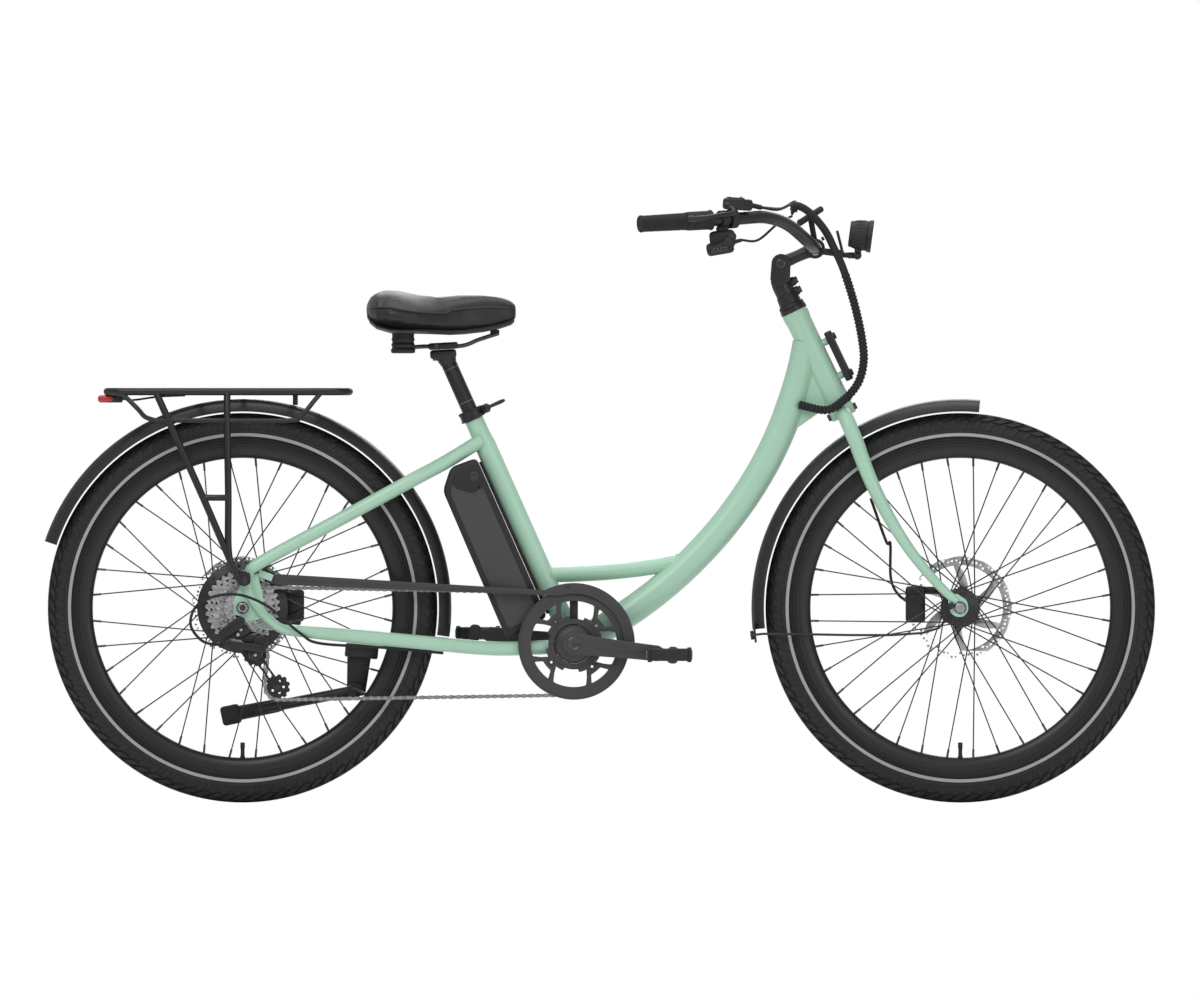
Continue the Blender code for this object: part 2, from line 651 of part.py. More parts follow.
def headlight_bracket():
    """Clamp beside the stem, a strip forwards, and a fork under the lamp."""
    ring = rod(BAR_CLAMP - SIDE * 0.0305, BAR_CLAMP - SIDE * 0.0245, 0.0165, sides=12)
    strip = block(off(BAR_CLAMP, 0.022, -0.006, -0.0275), (0.052, 0.005, 0.012), -8)
    turn = block(off(BAR_CLAMP, 0.044, -0.008, -0.0165), (0.010, 0.027, 0.012))
    post = block(off(BAR_CLAMP, 0.044, 0.010, 0.0), (0.005, 0.014, 0.044), 14)
    foot = rod(off(BAR_CLAMP, 0.042, -0.011), off(LAMP_PIVOT, -0.0075, 0), 0.005, sides=8)
    fork_plate = rod(LAMP_PIVOT + SIDE * 0.0075, LAMP_PIVOT + SIDE * 0.0115, 0.0075, sides=12)
    arm = block(off(LAMP_PIVOT, -0.0125, 0, 0.005), (0.008, 0.013, 0.011))
    arm_side = block(off(LAMP_PIVOT, -0.006, 0, 0.0095), (0.013, 0.004, 0.011))
    bore = bore_tool(BAR_CLAMP, BAR_CLAMP - SIDE * 0.05, BAR_RADIUS + GAP, sides=12)
    return cut(joined(ring, strip, turn, post, foot, arm, arm_side, fork_plate), bore)


def headlight():
    back = off(BAR_CLAMP, 0.060, 0.026)
    front = off(BAR_CLAMP, 0.098, 0.021)
    shell = rod(back, front, 0.0230, 0.0275, sides=20)
    rim = rod(front - (front - back).normalized() * 0.001, front + (front - back) * 0.06, 0.0285, sides=20)
    foot = block(off(LAMP_PIVOT, 0.001, 0.0105), (0.012, 0.012, 0.019))
    eye = rod(LAMP_PIVOT - SIDE * 0.006, LAMP_PIVOT + SIDE * 0.006, 0.0068, sides=12)
    return joined(shell, rim, foot, eye)


def basket_bracket():
    """Bar on two bosses, in front of the head tube, for a basket or bag."""
    strip = block(steer(-0.102, 0.0365), (0.014, 0.030, 0.094), HEAD_ANGLE, 0.002)
    legs = [block(steer(up, 0.0260), (0.014, 0.014, 0.010), HEAD_ANGLE) for up in (-0.070, -0.134)]
    flat = [rod(steer(up, 0.0425), steer(up, 0.0475), 0.006, sides=10) for up in (-0.067, -0.137)]
    head = bore_tool(steer(-HEAD_LENGTH - 0.01, 0), steer(0.01, 0), HEAD_RADIUS + GAP, sides=14)
    return cut(joined(strip, *legs, *flat), head)


def loom_points():
    """Centreline of the wrapped cables, from the bar over the lamp's side and into the down tube."""
    entry = steer(-0.150, -0.062, -0.0250)
    return smooth([steer(0.160, 0.074, -0.036), steer(0.166, 0.083, -0.038), steer(0.146, 0.098, -0.041),
                   steer(0.107, 0.109, -0.044), steer(0.071, 0.110, -0.046), steer(0.030, 0.109, -0.046),
                   steer(-0.034, 0.100, -0.045), steer(-0.093, 0.086, -0.043), steer(-0.131, 0.071, -0.041),
                   steer(-0.160, 0.046, -0.040), steer(-0.176, 0.010, -0.038), steer(-0.178, -0.024, -0.0365),
                   entry], 2)


def cable_loom():
    return tube(loom_points(), 0.0072)


# ---------------------------------------------------------------- wheels
def tyre(centre):
    half = TYRE_WIDTH / 2
    crown = TYRE_RADIUS
    profile = [(crown, -0.008), (crown - 0.010, -half * 0.80), (crown - 0.028, -half),
               (crown - 0.046, -half * 0.72), (RIM_OUTER + GAP, -RIM_WIDTH / 2 + 0.001),
               (RIM_OUTER + GAP, RIM_WIDTH / 2 - 0.001), (crown - 0.046, half * 0.72),
               (crown - 0.028, half), (crown - 0.010, half * 0.80), (crown, 0.008)]
    return spun(profile, centre, 36, closed=True)


def rim(centre):
    half = RIM_WIDTH / 2
    profile = [(RIM_OUTER, -half), (RIM_INNER + 0.004, -half + 0.002), (RIM_INNER, -half * 0.5),
               (RIM_INNER, half * 0.5), (RIM_INNER + 0.004, half - 0.002), (RIM_OUTER, half)]
    valve = rod(off(centre, 0, -RIM_INNER + 0.026), off(centre, 0, -RIM_INNER - 0.001), 0.004, sides=8)
    ring = spun(profile, centre, 36, closed=True)
    return joined(ring, valve)


def spokes(centre, flange_r, flange_y, body):
    """Crossed spokes, united with the hub's flanges so that they form one piece."""
    tip = RIM_INNER * math.cos(math.pi / 36) - GAP
    pieces = [body]
    for i in range(SPOKES):
        side = 1 if i % 2 else -1
        lean = 1 if (i // 2) % 2 else -1
        angle = 360 * (i + 0.5) / SPOKES
        hub_angle = angle + lean * LACING * (1 if flange_r < 0.05 else 0.5)
        inner = centre + direction(hub_angle) * (flange_r - 0.0065) + SIDE * (flange_y + 0.0018 * lean) * side
        outer = centre + direction(angle) * tip + SIDE * (0.006 + 0.0015 * lean) * side
        pieces.append(rod(inner, outer, SPOKE_R, sides=3))
    return joined(*pieces)


def front_hub():
    shoulder = ROTOR_Y - ROTOR_SHEET - GAP
    body = spun([(0.0, -0.038), (0.018, -0.038), (0.034, -0.034), (0.034, -0.029), (0.016, -0.022),
                 (0.016, 0.022), (0.034, 0.029), (0.034, 0.034), (0.024, shoulder), (ROTOR_SEAT, shoulder),
                 (ROTOR_SEAT, ROTOR_Y + 0.004), (0.0, ROTOR_Y + 0.004)], FRONT, 16)
    laced = spokes(FRONT, 0.034, 0.0315, body)
    bore = bore_tool(off(FRONT, 0, 0, -0.06), off(FRONT, 0, 0, 0.06), AXLE_R + RUNNING_GAP, sides=12)
    return cut(laced, bore)


def front_axle():
    bar = rod(off(FRONT, 0, 0, -0.062), off(FRONT, 0, 0, 0.062), AXLE_R, sides=12)
    pieces = [bar]
    for side in (-1, 1):
        pieces.append(rod(off(FRONT, 0, 0, (FRONT_DROPOUT + 0.0063) * side),
                          off(FRONT, 0, 0, (FRONT_DROPOUT + 0.015) * side), 0.0105, 0.0085, sides=12))
        inner = ROTOR_Y + 0.0046 if side > 0 else 0.0386
        pieces.append(rod(off(FRONT, 0, 0, (FRONT_DROPOUT - 0.0003) * side), off(FRONT, 0, 0, inner * side),
                          0.009, sides=12))
    return joined(*pieces)


def rotor(centre):
    """Brake disc: outer ring on six spokes round the hub's flange."""
    low = ROTOR_Y - ROTOR_SHEET
    hole = ROTOR_SEAT / math.cos(math.pi / 16) + GAP
    windows = []
    for i in range(6):
        start = 60 * i + 9
        outer = arc(centre, ROTOR_RADIUS - 0.016, start, start + 42, 3)
        inner = arc(centre, hole + 0.012, start + 42, start, 2)
        windows.append(outer + inner)
    return plate(circle(centre, ROTOR_RADIUS, 24), low, ROTOR_Y, [circle(centre, hole, 16)] + windows)


def hub_motor():
    half = DRUM_HALF
    shoulder = ROTOR_Y - ROTOR_SHEET - GAP
    body = spun([(0.0, -half - 0.003), (DRUM_RADIUS - 0.008, -half - 0.002), (DRUM_RADIUS, -half),
                 (DRUM_RADIUS, half), (DRUM_RADIUS - 0.008, half + 0.002), (0.030, shoulder),
                 (ROTOR_SEAT, shoulder), (ROTOR_SEAT, ROTOR_Y + 0.006), (0.0, ROTOR_Y + 0.006)], REAR, 24)
    laced = spokes(REAR, DRUM_RADIUS, half - 0.004, body)
    bore = bore_tool(off(REAR, 0, 0, -0.06), off(REAR, 0, 0, 0.06), AXLE_R + RUNNING_GAP, sides=12)
    return cut(laced, bore)


def rear_axle():
    bar = rod(off(REAR, 0, 0, -0.088), off(REAR, 0, 0, 0.088), AXLE_R, sides=12)
    pieces = [bar]
    for side in (-1, 1):
        pieces.append(rod(off(REAR, 0, 0, (REAR_DROPOUT + 0.0063) * side),
                          off(REAR, 0, 0, (REAR_DROPOUT + 0.016) * side), 0.0105, sides=12))
        inner = ROTOR_Y + 0.0066 if side > 0 else 0.0683
        pieces.append(rod(off(REAR, 0, 0, (REAR_DROPOUT - 0.0003) * side), off(REAR, 0, 0, inner * side),
                          0.009, sides=12))
    return joined(*pieces)


# ---------------------------------------------------------------- fenders and rack
def fender(centre, start, end, steps):
    """Curved sheet over a wheel: a shallow channel swept about the axle."""
    half = FENDER_WIDTH / 2
    top = FENDER_R - FENDER_SHEET / 2
    profile = [(top - 0.018, -half), (top - 0.006, -half * 0.86), (top, -half * 0.45),
               (top, half * 0.45), (top - 0.006, half * 0.86), (top - 0.018, half)]
    return spun(profile, centre, steps, sweep=end - start, start=end, thickness=FENDER_SHEET)


def front_fender():
    sheet = fender(FRONT, 84.5, 186.0, 18)
    crown_low = steer(FORK_TOP - 0.0225, 0)
    sheet_top = FRONT - STEER_FORWARD * FORK_OFFSET
    sheet_top += STEER_UP * (math.sqrt(FENDER_R ** 2 - FORK_OFFSET ** 2) - FENDER_SHEET * 0.6)
    height = (crown_low - sheet_top).length
    tab = block((crown_low + sheet_top) / 2, (0.016, 0.012, height), HEAD_ANGLE)
    flap = block(FRONT + direction(187.0) * (FENDER_R - 0.003), (0.004, 0.058, 0.030), 6)
    return joined(sheet, tab, flap)


def fender_stay():
    """Wire loop from the front fender's tail to both fork ends."""
    rear = FRONT + direction(187.5) * (TYRE_RADIUS + 0.008)
    tip = FRONT + direction(187.5) * (FENDER_R + 0.0035)
    points = []
    for side in (-1, 1):
        run = [off(FRONT, *STAY_BOLT, (FRONT_DROPOUT + 0.0100) * side),
               off(FRONT, -0.066, -0.044, 0.056 * side), rear + SIDE * 0.041 * side,
               tip + SIDE * 0.036 * side]
        points.append(run)
    wire = tube(points[0] + list(reversed(points[1])), 0.0021)
    bolts = [rod(off(FRONT, *STAY_BOLT, (FRONT_DROPOUT + 0.0063) * side),
                 off(FRONT, *STAY_BOLT, (FRONT_DROPOUT + 0.0125) * side), 0.0042, sides=8)
             for side in (-1, 1)]
    return joined(wire, *bolts)


def rear_fender():
    return fender(REAR, -8.0, 180 - REAR_FENDER_TAIL, 26)


def rack_point(x, z, y=0.0):
    return off(REAR, x, RACK_TOP + z, y)


def rear_rack():
    """Carrier with a tubular deck, lower side rails, legs to the dropouts and a strut to the fender."""
    front = RACK_BACK + RACK_LENGTH
    half = RACK_HALF
    z = -0.0070
    loop = [rack_point(RACK_BACK + 0.002, z, -half + 0.02), rack_point(RACK_BACK + 0.022, z, -half),
            rack_point(front - 0.022, z, -half), rack_point(front, z, -half + 0.02),
            rack_point(front, z, half - 0.02), rack_point(front - 0.022, z, half),
            rack_point(RACK_BACK + 0.022, z, half), rack_point(RACK_BACK + 0.002, z, half - 0.02)]
    pieces = [tube(loop, RACK_TUBE + 0.0012), rod(loop[0], loop[7], RACK_TUBE, sides=6)]
    pieces.append(block(rack_point((RACK_BACK + front) / 2, -0.0035), (0.150, 0.040, 0.006)))
    for x in (-0.158, -0.078, 0.002, RACK_STRUT):
        pieces.append(rod(rack_point(x, z, -half), rack_point(x, z, half), 0.004, sides=6))
    for side in (-1, 1):
        outer = (half + 0.010) * side
        rail = smooth([rack_point(-0.211, -0.012, half * side), rack_point(-0.185, -0.034, outer),
                       rack_point(-0.162, -0.0573, outer), rack_point(0.091, -0.0573, outer),
                       rack_point(0.112, -0.040, outer), rack_point(0.136, -0.012, half * side)], 2)
        pieces.append(tube(rail, 0.0042))
        leg_y = (REAR_DROPOUT + 0.0245) * side
        foot = off(REAR, -0.010, 0.0575, leg_y)
        pieces.append(tube([rack_point(-0.151, -0.010, half * side), rack_point(-0.127, -0.062, outer),
                            foot, off(REAR, 0.004, 0.047, leg_y)], 0.0062))
        pieces.append(tube([rack_point(-0.027, -0.010, half * side), rack_point(-0.027, -0.060, outer),
                            off(REAR, -0.024, 0.095, leg_y), off(REAR, -0.010, 0.060, leg_y)],
                           0.0060))
        pieces.append(rod(off(REAR, -0.062, 0.192, leg_y - 0.004 * side),
                          off(REAR, -0.026, 0.192, leg_y - 0.004 * side), 0.0045, sides=8))
        low, high = sorted((leg_y + 0.0062 * side, (REAR_DROPOUT + 0.0173) * side))
        pieces.append(rod(off(REAR, 0.004, 0.047, low), off(REAR, 0.004, 0.047, high), 0.0075, sides=10))
    fender_top = math.sqrt((FENDER_R + 0.0012) ** 2 - RACK_STRUT ** 2)
    pieces.append(rod(rack_point(RACK_STRUT, z), off(REAR, RACK_STRUT, fender_top), 0.0045, sides=8))
    return joined(*pieces)


def tail_light():
    return block(rack_point(RACK_BACK + 0.008, -0.0196), (0.044, 0.090, 0.0135), 0, 0.003)


# ---------------------------------------------------------------- drive
def pitch_radius(teeth):
    return CHAIN_PITCH / (2 * math.sin(math.pi / teeth))


RING_R = pitch_radius(RING_TEETH)
COG_R = pitch_radius(COG_TEETH)
PULLEY_R = pitch_radius(PULLEY_TEETH)
GUIDE = off(REAR, 0.022, -0.080, CHAIN_Y)
TENSION = off(REAR, 0.061, -0.138, CHAIN_Y)


def cassette():
    """Stepped block of sprockets that turns on the axle beside the motor."""
    bore = AXLE_R + RUNNING_GAP
    outline = [(bore, CHAIN_Y - 4 * COG_STEP), (0.017, CHAIN_Y - 4 * COG_STEP)]
    for i, teeth in enumerate(reversed(CASSETTE)):
        radius = pitch_radius(teeth) - (0.0045 if teeth == COG_TEETH else 0.0016)
        start = CHAIN_Y + COG_STEP * (i - 3) - 0.0011
        outline += [(outline[-1][0], start), (radius, start)]
    outline += [(outline[-1][0], start + 0.0022), (0.030, start + 0.0022), (bore, start + 0.0022)]
    return spun(outline, REAR, 18, closed=True)


def chainring():
    """Chainring inside a windowed guard, bolted to it at five posts."""
    ring = plate(circle(CRANK, RING_R - 0.0030, 36), CHAIN_Y - 0.0011, CHAIN_Y + 0.0011,
                 [circle(CRANK, 0.034, 16)])
    windows = []
    for i in range(5):
        start = 72 * i + 8
        windows.append(arc(CRANK, 0.076, start, start + 56, 4) + arc(CRANK, 0.052, start + 56, start, 3))
    guard = plate(circle(CRANK, 0.0972, 32), CHAIN_Y - 0.0075, CHAIN_Y - 0.0045,
                  [circle(CRANK, 0.034, 16)] + windows)
    posts = [rod(CRANK + direction(72 * i) * 0.064 + SIDE * (CHAIN_Y - 0.005),
                 CRANK + direction(72 * i) * 0.064 + SIDE * CHAIN_Y, 0.005, sides=8) for i in range(5)]
    return joined(ring, guard, *posts)


def chain_points():
    """Stations along the chain, in order: under the ring, round the pulleys, over the cassette."""
    def touch(a, ra, side_a, b, rb, side_b):
        """Ends of the straight that leaves circle a on side_a and meets circle b on side_b."""
        run = Vector((b.x - a.x, 0, b.z - a.z))
        length = run.length
        along = run / length
        across = Vector((-along.z, 0, along.x))
        sine = (ra * side_a - rb * side_b) / length
        cosine = math.sqrt(1 - sine * sine)
        normal = along * sine + across * cosine
        return a + normal * ra * side_a, b + normal * rb * side_b

    flat = [Vector((p.x, 0, p.z)) for p in (CRANK, TENSION, GUIDE, REAR)]
    radii = (RING_R, PULLEY_R, PULLEY_R, COG_R)
    sides = (1, 1, -1, 1)
    straights = []
    for i in range(4):
        j = (i + 1) % 4
        straights.append(touch(flat[i], radii[i], sides[i], flat[j], radii[j], sides[j]))
    points = []
    for i in range(4):
        begin, end = straights[i]
        points += [begin, end]
        j = (i + 1) % 4
        centre, radius, side = flat[j], radii[j], sides[j]
        first = math.atan2(end.z - centre.z, end.x - centre.x)
        last = math.atan2(straights[j][0].z - centre.z, straights[j][0].x - centre.x)
        sweep = last - first
        while sweep * side > 0:
            sweep -= side * 2 * math.pi
        while sweep * side < -2 * math.pi:
            sweep += side * 2 * math.pi
        count = (7, 6, 12, 14)[i]
        for k in range(1, count):
            angle = first + sweep * k / count
            points.append(centre + Vector((math.cos(angle), 0, math.sin(angle))) * radius)
    return points


def chain():
    """The chain as one closed band, 7 mm wide and 8 mm deep, that runs on the pitch circles."""
    points = chain_points()
    count = len(points)
    outer, inner = [], []
    for i, point in enumerate(points):
        run = (points[(i + 1) % count] - points[i - 1]).normalized()
        normal = Vector((-run.z, 0, run.x))
        outer.append(point + normal * 0.0042)
        inner.append(point - normal * 0.0012)
    work = bmesh.new()
    rows = []
    for a, b in zip(outer, inner):
        rows.append([work.verts.new(p + SIDE * y) for p, y in
                     ((a, CHAIN_Y - 0.0033), (a, CHAIN_Y + 0.0033), (b, CHAIN_Y + 0.0033), (b, CHAIN_Y - 0.0033))])
    for i in range(count):
        first, second = rows[i], rows[(i + 1) % count]
        for k in range(4):
            m = (k + 1) % 4
            work.faces.new((first[k], first[m], second[m], second[k]))
    return from_bmesh(work)


def pulley(centre):
    return spun([(0.0028 + RUNNING_GAP, -0.0035), (PULLEY_R - 0.0080, -0.0035), (PULLEY_R - 0.0080, -0.0011),
                 (PULLEY_R - 0.0052, -0.0009), (PULLEY_R - 0.0052, 0.0009), (PULLEY_R - 0.0080, 0.0011),
                 (PULLEY_R - 0.0080, 0.0035), (0.0028 + RUNNING_GAP, 0.0035)], centre, 16, closed=True)


def derailleur_cage():
    """Two plates that hold the pulleys' bolts; the cage swings about the guide pulley's bolt."""
    pieces = []
    run = (TENSION - GUIDE).normalized()
    across = Vector((-run.z, 0, run.x))
    for side in (-1, 1):
        low, high = sorted((0.0046 * side, 0.0061 * side))
        half = 0.0105
        outline = [GUIDE - run * 0.010 + across * 0.006, GUIDE - run * 0.010 - across * 0.006,
                   GUIDE - across * half, TENSION - across * half * 0.8, TENSION + run * 0.010 - across * 0.005,
                   TENSION + run * 0.010 + across * 0.005, TENSION + across * half * 0.8, GUIDE + across * half]
        pieces.append(plate(outline, CHAIN_Y + low, CHAIN_Y + high))
    for centre in (GUIDE, TENSION):
        pieces.append(rod(centre - SIDE * 0.0055, centre + SIDE * 0.0055, 0.0028, sides=10))
    return joined(*pieces)


DERAILLEUR_BOLT = off(REAR, -0.006, -0.026)
KNUCKLE = off(REAR, 0.026, -0.058)


def derailleur_body():
    """Hanger bolt, upper knuckle, links and the lower knuckle above the cage."""
    y = -REAR_DROPOUT - 0.0063
    bolt = rod(off(DERAILLEUR_BOLT, 0, 0, y), off(DERAILLEUR_BOLT, 0, 0, y - 0.016), 0.009, sides=12)
    upper = block(off(DERAILLEUR_BOLT, 0.006, -0.016, y - 0.009), (0.026, 0.014, 0.020), 35, 0.003)
    links = block(off(DERAILLEUR_BOLT, 0.018, -0.030, y - 0.004), (0.046, 0.018, 0.020), -40, 0.003)
    lower = rod(Vector((GUIDE.x, CHAIN_Y - 0.0064, GUIDE.z)), Vector((GUIDE.x, y - 0.008, GUIDE.z)), 0.0125, sides=12)
    neck = block(off(GUIDE, 0.0, 0.016, -0.026), (0.026, 0.024, 0.022), -20, 0.003)
    return joined(bolt, upper, links, neck, lower)


def crank_arm(side, angle):
    """Forged arm from the spindle to the pedal's eye."""
    inner = CRANK_INNER * side
    outer = (CRANK_INNER + 0.015) * side
    low, high = sorted((inner, outer))
    run = direction(angle)
    across = Vector((-run.z, 0, run.x))
    end = CRANK + run * CRANK_LENGTH
    outline = [CRANK + across * 0.019]
    outline += [CRANK + Matrix.Rotation(math.radians(-t), 4, "Y") @ (across * 0.0205) for t in (45, 90, 135)]
    outline += [CRANK - across * 0.019, end - across * 0.0135]
    outline += [end + Matrix.Rotation(math.radians(-t), 4, "Y") @ (-across * 0.0150) for t in (45, 90, 135)]
    outline += [end + across * 0.0135]
    return plate(outline, low, high)


RIGHT_PEDAL = CRANK + direction(CRANK_ANGLE) * CRANK_LENGTH
LEFT_PEDAL = CRANK - direction(CRANK_ANGLE) * CRANK_LENGTH


def crank_right():
    arm = crank_arm(-1, CRANK_ANGLE)
    spindle = rod(off(CRANK, 0, 0, CRANK_INNER - GAP), off(CRANK, 0, 0, -CRANK_INNER - 0.010), SPINDLE_R, sides=12)
    core = rod(off(CRANK, 0, 0, CHAIN_Y + 0.0040), off(CRANK, 0, 0, -CRANK_INNER - 0.001), 0.0332, sides=16)
    return joined(arm, spindle, core)


def crank_left():
    arm = crank_arm(1, CRANK_ANGLE + 180)
    boss = rod(off(CRANK, 0, 0, BB_HALF + 0.004), off(CRANK, 0, 0, CRANK_INNER + 0.001), 0.018, sides=12)
    bore = bore_tool(off(CRANK, 0, 0, 0.02), off(CRANK, 0, 0, CRANK_INNER), SPINDLE_R + GAP, sides=12)
    return cut(joined(arm, boss), bore)


def pedal(centre, side):
    """Platform of two rails and end bars on a body that turns on the pedal's axle."""
    y0, y1 = PEDAL_INNER * side, (PEDAL_INNER + PEDAL_LENGTH) * side
    core = rod(off(centre, 0, 0, (CRANK_INNER + 0.0155) * side), off(centre, 0, 0, y1 - 0.003 * side),
               0.0095, sides=12)
    pieces = [core]
    middle = (y0 + y1) / 2
    for x in (-0.034, 0.034):
        pieces.append(block(off(centre, x, 0, middle), (0.010, PEDAL_LENGTH, 0.024), 0, 0.002))
    for y in (y0 + 0.006 * side, y1 - 0.006 * side):
        pieces.append(block(off(centre, 0, 0, y), (0.070, 0.011, 0.022), 0, 0.002))
    return joined(*pieces)


def chain_guard():
    """Band over the upper chain and a cover round the top of the chainring, on one strut."""
    low, high = CHAIN_Y - 0.0125, CHAIN_Y - 0.0105
    rear = off(REAR, 0.044, 0.054)
    outer = arc(CRANK, 0.1065, 118, -6, 12)
    inner = arc(CRANK, 0.0990, -6, 110, 12)
    band = plate([rear, off(REAR, 0.060, 0.059)] + outer + inner + [off(REAR, 0.060, 0.040), off(REAR, 0.047, 0.043)],
                 low, high)
    lip_top = arc(CRANK, 0.1060, 103, -4, 10)
    lip_low = arc(CRANK, 0.1040, -4, 103, 10)
    lip = plate(lip_top + lip_low, low + 0.001, -BB_HALF - 0.0050)
    clip = rod(off(REAR, 0.050, 0.051, low + 0.001), off(REAR, 0.050, 0.051, CHAIN_Y + 0.000), 0.005, sides=8)
    strut = block(off(CRANK, 0, 0.064, -BB_HALF - 0.0058), (0.014, 0.0025, 0.084))
    collar = rod(off(CRANK, 0, 0, -BB_HALF - GAP), off(CRANK, 0, 0, -BB_HALF - 0.0070), 0.0270, sides=14)
    hole = bore_tool(off(CRANK, 0, 0, -BB_HALF + 0.01), off(CRANK, 0, 0, -BB_HALF - 0.02), 0.0150)
    return cut(joined(band, lip, clip, strut, collar), hole)


# ---------------------------------------------------------------- brakes, battery, stand, cables
def caliper(centre, height, slot_shift):
    """Body with a slot that the disc runs in; the slot is closed on the side away from the axle."""
    body = block(centre, (0.036, 2 * CALIPER_HALF, height), 0, 0.004)
    disc = centre.copy()
    disc.y = ROTOR_Y - ROTOR_SHEET / 2
    return body, block(off(disc, slot_shift, 0), (0.080, ROTOR_SHEET + 2 * PAD_GAP, 0.120))


def front_caliper():
    centre = off(FRONT, -0.078, 0.006, CALIPER_Y)
    body, slot = caliper(centre, 0.064, 0.0260)
    arm = block(off(centre, 0.0240, 0.0250, -0.0020), (0.034, 0.010, 0.012))
    return cut(joined(body, arm), slot)


def rear_caliper():
    centre = off(REAR, 0.090, 0.004, CALIPER_Y)
    body, slot = caliper(centre, 0.056, -0.0360)
    arm = block(off(REAR, 0.092, -0.0243, 0.0650), (0.020, 0.032, 0.0110), -6)
    return cut(joined(body, arm), slot)


def battery():
    """Battery case behind the seat tube; its lower left edge is bevelled so that it can tilt out."""
    outline = [seat(0.062, SEAT_TUBE_R + 0.0065), seat(0.366, SEAT_TUBE_R + 0.0065), seat(0.369, 0.071),
               seat(0.337, 0.100), seat(0.052, 0.104)]
    body = plate(outline, -BATTERY_HALF, BATTERY_HALF)
    rounding = body.modifiers.new("rounding", "BEVEL")
    rounding.width = 0.008
    rounding.segments = 2
    rounding.limit_method = "ANGLE"
    body = baked(body)
    corner = seat(0.051, 0.060, 0.018)
    wedge = block(corner + SIDE * 0.04 - SEAT_UP * 0.02, (0.180, 0.080, 0.040), SEAT_ANGLE)
    turn = Matrix.Rotation(math.radians(-34), 4, SEAT_BACK)
    wedge.data.transform(Matrix.Translation(corner) @ turn @ Matrix.Translation(-corner))
    return cut(body, wedge)


def battery_rail():
    """Rail screwed to the back of the seat tube, which the battery leans on."""
    return block(seat(0.212, SEAT_TUBE_R + 0.0032), (0.0055, 0.024, 0.290), SEAT_ANGLE)


STAND_PIVOT = off(CRANK, -0.382, -0.081, 0.052)


def kickstand_bracket():
    """Clamp on the left chainstay with a cheek for the leg's bolt."""
    cheek = plate([off(CRANK, -0.395, -0.018), off(CRANK, -0.353, -0.018), off(CRANK, -0.364, -0.090),
                   off(CRANK, -0.396, -0.092)], 0.0560, 0.0640)
    pin = rod(off(STAND_PIVOT, 0, 0, 0.006), off(STAND_PIVOT, 0, 0, -0.0170), 0.0045, sides=12)
    top = block(off(CRANK, -0.370, -0.0124, 0.0605), (0.058, 0.030, 0.0240), -5.3)
    return joined(cheek, top, pin)


def kickstand_leg():
    """Folded leg with its foot, from the bracket's bolt back along the chainstay."""
    foot = off(STAND_PIVOT, -0.216, -0.042)
    eye = rod(off(STAND_PIVOT, 0, 0, -0.0155), off(STAND_PIVOT, 0, 0, 0.0034), 0.0135, sides=12)
    leg = tube([STAND_PIVOT - SIDE * 0.0074, off(STAND_PIVOT, -0.030, -0.006, -0.004), off(foot, 0, 0, 0.010)],
               0.0095, resolution=2)
    shoe = block(off(foot, 0, -0.0005, 0.010), (0.034, 0.030, 0.034), 12, 0.003)
    bore = bore_tool(off(STAND_PIVOT, 0, 0, -0.02), off(STAND_PIVOT, 0, 0, 0.01), 0.0045 + RUNNING_GAP, sides=12)
    return cut(joined(eye, leg, shoe), bore)


def shift_cable():
    """Gear cable's rear loop, from under the chainstay round to the derailleur."""
    route = smooth([off(REAR, 0.350, -0.0790, -0.046), off(REAR, 0.240, -0.0690, -0.060),
                    off(REAR, 0.135, -0.062, -0.074), off(REAR, 0.100, -0.044, -0.092),
                    off(REAR, 0.046, 0.001, -0.104), off(REAR, 0.002, 0.021, -0.106),
                    off(REAR, -0.032, 0.023, -0.104), off(REAR, -0.060, 0.016, -0.102),
                    off(REAR, -0.083, 0.000, -0.100), off(REAR, -0.091, -0.027, -0.098),
                    off(REAR, -0.080, -0.049, -0.096), off(REAR, -0.060, -0.062, -0.093),
                    off(REAR, -0.016, -0.066, -0.089)], 2)
    return tube(route, 0.0025)


def front_hose():
    """Brake hose down the left fork leg to the caliper."""
    route = smooth([steer(FORK_TOP - 0.170, -0.020, 0.068), steer(FORK_TOP - 0.250, -0.028, 0.071),
                    off(FRONT, -0.122, 0.112, 0.073), off(FRONT, -0.121, 0.051, 0.070),
                    off(FRONT, -0.107, 0.022, 0.064), off(FRONT, -0.088, 0.010, 0.0595)], 3)
    return tube(route, 0.0025)


